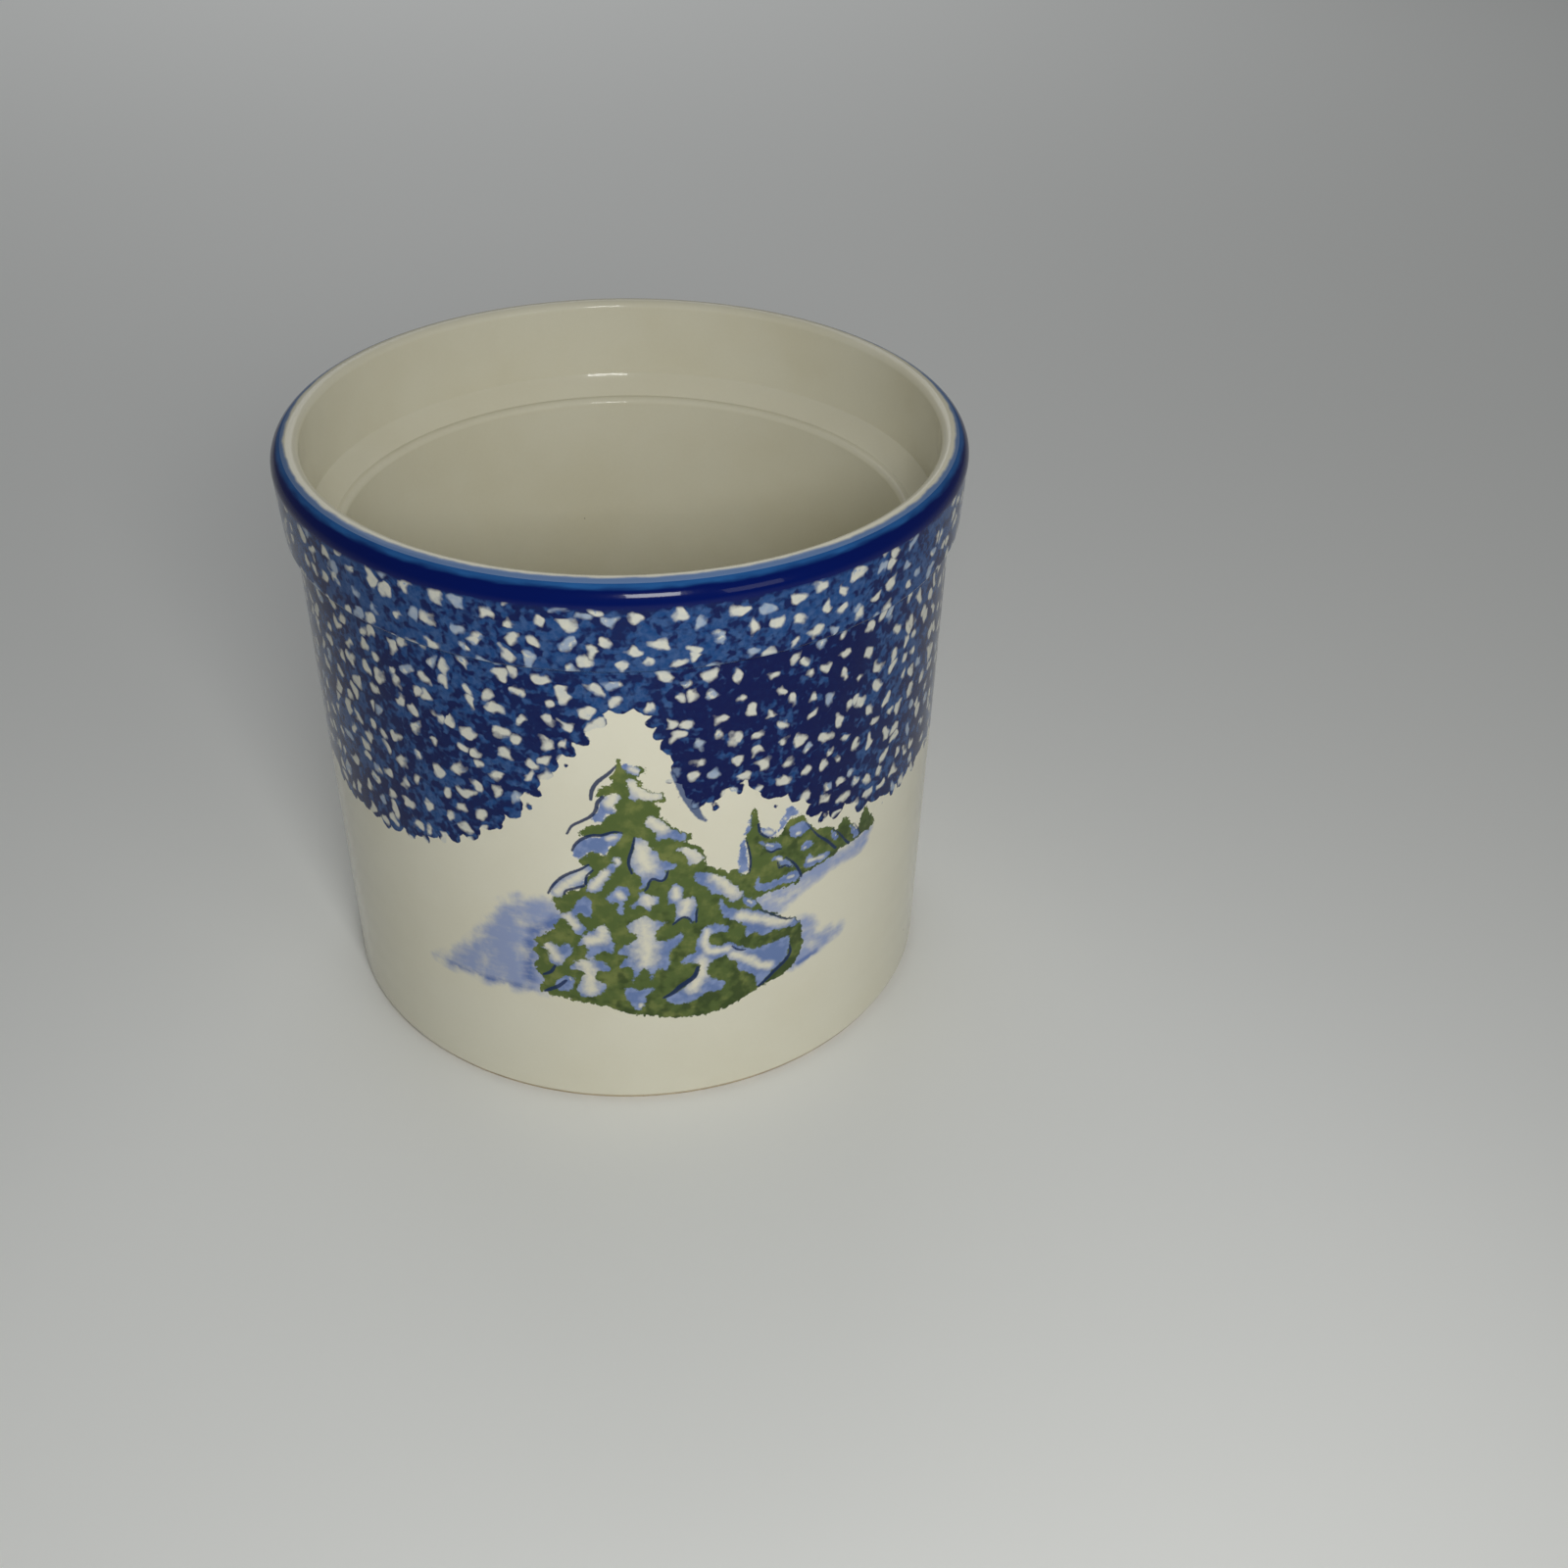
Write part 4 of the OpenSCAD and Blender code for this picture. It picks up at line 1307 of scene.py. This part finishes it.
def rim_arc(m, low_turn, high_turn, depth, count):
    """Rows on the rim's outer rounding between two turns from the level, a depth behind the face."""
    turns = np.linspace(low_turn, high_turn, count)
    centre = np.array([m.collar_radius - m.rim_round, m.height - m.rim_round])
    out = np.stack([np.cos(turns), np.sin(turns)], -1)
    return np.hstack([centre + out * (m.rim_round - depth), np.stack([-out[:, 1], out[:, 0]], -1)])


def crest_turn(m):
    """Turn from the level at which the blue band starts on the rim's rounding."""
    return math.acos((m.band_edge - m.collar_radius + m.rim_round) / m.rim_round)


def crest_rows(m):
    """Rows from the band's edge over the rest of the rim's rounding to its top."""
    return rim_arc(m, crest_turn(m), math.pi / 2, depth=0, count=7)


class CROCK_OT_rim(Operator):
    """Brush the cobalt band over the outer shoulder of the rim"""

    bl_idname = "crock.rim"
    bl_label = "Cobalt Rim"

    def execute(self, context):
        m = measures(context)
        low_turn = math.asin((m.band_low - m.height + m.rim_round) / m.rim_round)
        front = rim_arc(m, low_turn, crest_turn(m), depth=0, count=15)
        back = rim_arc(m, crest_turn(m), low_turn, depth=m.glaze, count=6)[:, :2]
        piece = turned_shell(m, "cobalt_rim", front, back, ring_angles(640), ring=True, fold=4)
        finish_piece(piece, rim_material(palette_of(context), m), "cobalt_glaze", "rim_band")
        return {"FINISHED"}


class CROCK_OT_collar(Operator):
    """Sponge the collar, from its root on the wall up to the cobalt band"""

    bl_idname = "crock.collar"
    bl_label = "Sponged Collar"

    def execute(self, context):
        m = measures(context)
        s = radii(m)
        g = m.glaze
        root = root_z(m)
        top = m.band_low
        rim_centre = m.height - m.rim_round
        top_r = s.collar_low + m.collar_draft * (top - s.collar_z) / (rim_centre - s.collar_z)
        corners = [
            (wall_radius(m, root), root, 0),
            (wall_radius(m, s.collar_z), s.collar_z, m.collar_root),
            (s.collar_low, s.collar_z, m.collar_edge * 0.99),
            (top_r, top, 0),
        ]
        front = rounded_path(corners, step=0.45, arc_step=0.15)
        back = np.array(
            [
                (top_r - g, top),
                (s.collar_low - g, s.collar_z + m.collar_edge),
                (s.wall - g, s.collar_z + g),
                (wall_radius(m, root) - g, root),
            ]
        )
        angles = ring_angles(720)
        arc = angles[None, :] * ARC_R
        layers = {"depth": sponge_depth(arc, front[:, 1, None])}
        piece = turned_shell(m, "sponged_collar", front, back, angles, ring=True, fold=4, layers=layers)
        material = wall_material(palette_of(context), "sponged_collar_glaze", collar=True, rim_z=top)
        finish_piece(piece, material, "sponged_glaze", "sponge_band")
        return {"FINISHED"}


class CROCK_OT_walls(Operator):
    """Glaze the sides and the back: ivory below, sponged blue above"""

    bl_idname = "crock.walls"
    bl_label = "Side and Back Walls"

    def execute(self, context):
        m = measures(context)
        palette = palette_of(context)
        half_turn = math.pi * ARC_R
        sides = {"left": (-half_turn, PANEL[0]), "right": (PANEL[1], half_turn)}
        plain = ivory_glaze(palette, "ivory_wall_glaze")
        sponged = wall_material(palette, "sponged_wall_glaze")
        top = root_z(m)
        for side, (low_arc, high_arc) in sides.items():
            angles = arcs(low_arc, high_arc, PLAIN)
            foot = foot_rows(m, FOOT_RISE)
            above = wall_rows(m, graded(np.array([m.dry + FOOT_RISE, BREAK_Z]), [LOW_ROWS]))
            front = np.vstack([foot[:-1], above])
            back = wall_back(m, m.dry + FOOT_TUCK, BREAK_Z)
            lower = turned_shell(m, f"ivory_wall_{side}", front, back, angles, ring=False)
            finish_piece(lower, plain, "ivory_glaze", "outer_glaze")
            front = wall_rows(m, graded(np.array([BREAK_Z, top]), [0.5]))
            layers = {"depth": sponge_depth(angles[None, :] * ARC_R, front[:, 1, None])}
            back = wall_back(m, BREAK_Z, top)
            name = f"sponged_wall_{side}"
            upper = turned_shell(m, name, front, back, angles, ring=False, fold=2, layers=layers)
            finish_piece(upper, sponged, "sponged_glaze", "sponge_band")
        return {"FINISHED"}


class CROCK_OT_front(Operator):
    """Glaze the front panel, with the printed winter scene under its arch of sponged blue"""

    bl_idname = "crock.front"
    bl_label = "Printed Front"

    def execute(self, context):
        m = measures(context)
        top = root_z(m)
        arc = graded(np.array([PANEL[0], *FINE_ARC, PANEL[1]]), [PLAIN, FINE, PLAIN])
        heights = graded(np.array([m.dry + FOOT_RISE, *FINE_Z, top]), [LOW_ROWS, FINE, PLAIN])
        front = np.vstack([foot_rows(m, FOOT_RISE)[:-1], wall_rows(m, heights)])
        grid = (arc[None, :], front[:, 1, None])
        layers = print_layers(*grid)
        layers["depth"] = sponge_depth(*grid)
        back = wall_back(m, m.dry + FOOT_TUCK, top)
        piece = turned_shell(m, "printed_front", front, back, arc / ARC_R, ring=False, layers=layers)
        material = wall_material(palette_of(context), "printed_front_glaze", printed=True)
        finish_piece(piece, material, "printed_glaze", "pine_scene")
        return {"FINISHED"}


class CROCK_OT_base(Operator):
    """Glaze the recess under the floor"""

    bl_idname = "crock.base"
    bl_label = "Recess Glaze"

    def execute(self, context):
        m = measures(context)
        g = m.glaze
        low = m.recess - g
        corners = [(0, low, 0), (m.recess_radius, low, 0.9 * g), (m.recess_radius, m.recess - g * 0.05, 0)]
        front = rounded_path(corners, step=1.2, arc_step=0.06)
        back = np.array([(m.recess_radius * 0.5, m.recess), (0, m.recess)])
        piece = turned_shell(m, "recess_glaze", front, back, ring_angles(240), ring=True)
        material = ivory_glaze(palette_of(context), "recess_ivory_glaze", 0.6)
        finish_piece(piece, material, "ivory_glaze", "base_glaze")
        return {"FINISHED"}


def camera_matrix(stage):
    """World matrix of a camera in front of the crock, pitched, yawed and rolled by the stage's angles.

    ahead = (cos p sin y, cos p cos y, -sin p), right = (cos y, -sin y, 0), down = ahead x right, and
    the roll turns right and down about ahead.
    """
    p, y, roll = stage.camera_pitch, stage.camera_yaw, stage.camera_roll
    ahead = Vector((math.cos(p) * math.sin(y), math.cos(p) * math.cos(y), -math.sin(p)))
    level = Vector((math.cos(y), -math.sin(y), 0))
    down = ahead.cross(level)
    right = math.cos(roll) * level + math.sin(roll) * down
    down = -math.sin(roll) * level + math.cos(roll) * down
    turn = Matrix((right, -down, -ahead)).transposed().to_4x4()
    return Matrix.Translation((0, -stage.camera_back, stage.camera_height)) @ turn


def area_light(name, place, target, size, power, tone):
    """A square soft light at a place, in metres, turned to a target."""
    light = bpy.data.lights.new(name, "AREA")
    light.shape = "SQUARE"
    light.size = size
    light.energy = power
    light.color = tone
    lamp = bpy.data.objects.new(name, light)
    lamp.location = place
    lamp.rotation_euler = (Vector(target) - Vector(place)).to_track_quat("-Z", "Y").to_euler()
    bpy.context.scene.collection.objects.link(lamp)


# Each light's place, what it is turned to if not the crock's middle, its width in metres and its tone
LIGHTS = {
    "key": ((0.30, -0.40, 0.21), None, 0.16, (1.0, 0.99, 0.96)),
    "front": ((0.03, -0.25, 0.21), None, 0.07, (1.0, 1.0, 0.98)),
    "back": ((-0.1, 0.95, 0.75), (-0.1, 0.6, 0.0), 0.8, (0.97, 0.98, 1.0)),
}


class CROCK_OT_stage(Operator):
    """Lay the pale floor, hang the soft lights and set up the camera"""

    bl_idname = "crock.stage"
    bl_label = "Floor, Lights and Camera"

    def execute(self, context):
        scene = context.scene
        stage = scene.crock_stage
        corners = np.array([(-1, -1, 0), (1, -1, 0), (1, 1, 0), (-1, 1, 0)]) * stage.floor_size
        mesh = bpy.data.meshes.new("pale_floor")
        mesh.from_pydata(corners.tolist(), [], [(0, 1, 2, 3)])
        mesh.materials.append(floor_material(stage))
        floor = bpy.data.objects.new("pale_floor", mesh)
        scene.collection.objects.link(floor)
        world = bpy.data.worlds.new("soft_surroundings")
        world.use_nodes = True
        sky = world.node_tree.nodes["Background"]
        sky.inputs["Color"].default_value = (*stage.world_tone, 1)
        sky.inputs["Strength"].default_value = stage.world_power
        scene.world = world
        middle = (0, 0, scene.crock_sizes.height / 2)
        powers = {"key": stage.key_power, "front": stage.fill_power, "back": stage.back_power}
        for name, (place, target, size, tone) in LIGHTS.items():
            area_light(f"{name}_light", place, target or middle, size, powers[name], tone)
        camera = bpy.data.cameras.new("camera")
        camera.sensor_width = 36
        camera.lens = stage.lens
        camera.clip_start = 0.005
        camera.clip_end = 20
        viewer = bpy.data.objects.new("camera", camera)
        viewer.matrix_world = camera_matrix(stage)
        scene.collection.objects.link(viewer)
        scene.camera = viewer
        scene.view_settings.view_transform = "Standard"
        return {"FINISHED"}


class CROCK_PT_panel(Panel):
    """The crock's steps and settings"""

    bl_label = "Stoneware Crock"
    bl_idname = "CROCK_PT_panel"
    bl_space_type = "VIEW_3D"
    bl_region_type = "UI"
    bl_category = "Crock"

    def draw(self, context):
        for step in STEPS:
            self.layout.operator(step.bl_idname)
        for group in ("crock_sizes", "crock_palette", "crock_stage"):
            settings = getattr(context.scene, group)
            box = self.layout.box()
            for name in settings.__annotations__:
                box.prop(settings, name)


STEPS = (
    CROCK_OT_clay,
    CROCK_OT_liner,
    CROCK_OT_rim,
    CROCK_OT_collar,
    CROCK_OT_walls,
    CROCK_OT_front,
    CROCK_OT_base,
    CROCK_OT_stage,
)
GROUPS = {"crock_sizes": CrockSizes, "crock_palette": CrockPalette, "crock_stage": CrockStage}


def register():
    for group, kind in GROUPS.items():
        bpy.utils.register_class(kind)
        setattr(bpy.types.Scene, group, PointerProperty(type=kind))
    for kind in (*STEPS, CROCK_PT_panel):
        bpy.utils.register_class(kind)


def unregister():
    for kind in (CROCK_PT_panel, *reversed(STEPS)):
        bpy.utils.unregister_class(kind)
    for group, kind in GROUPS.items():
        delattr(bpy.types.Scene, group)
        bpy.utils.unregister_class(kind)


def main():
    register()
    for step in STEPS:
        family, action = step.bl_idname.split(".")
        getattr(getattr(bpy.ops, family), action)()


if __name__ == "__main__":
    main()
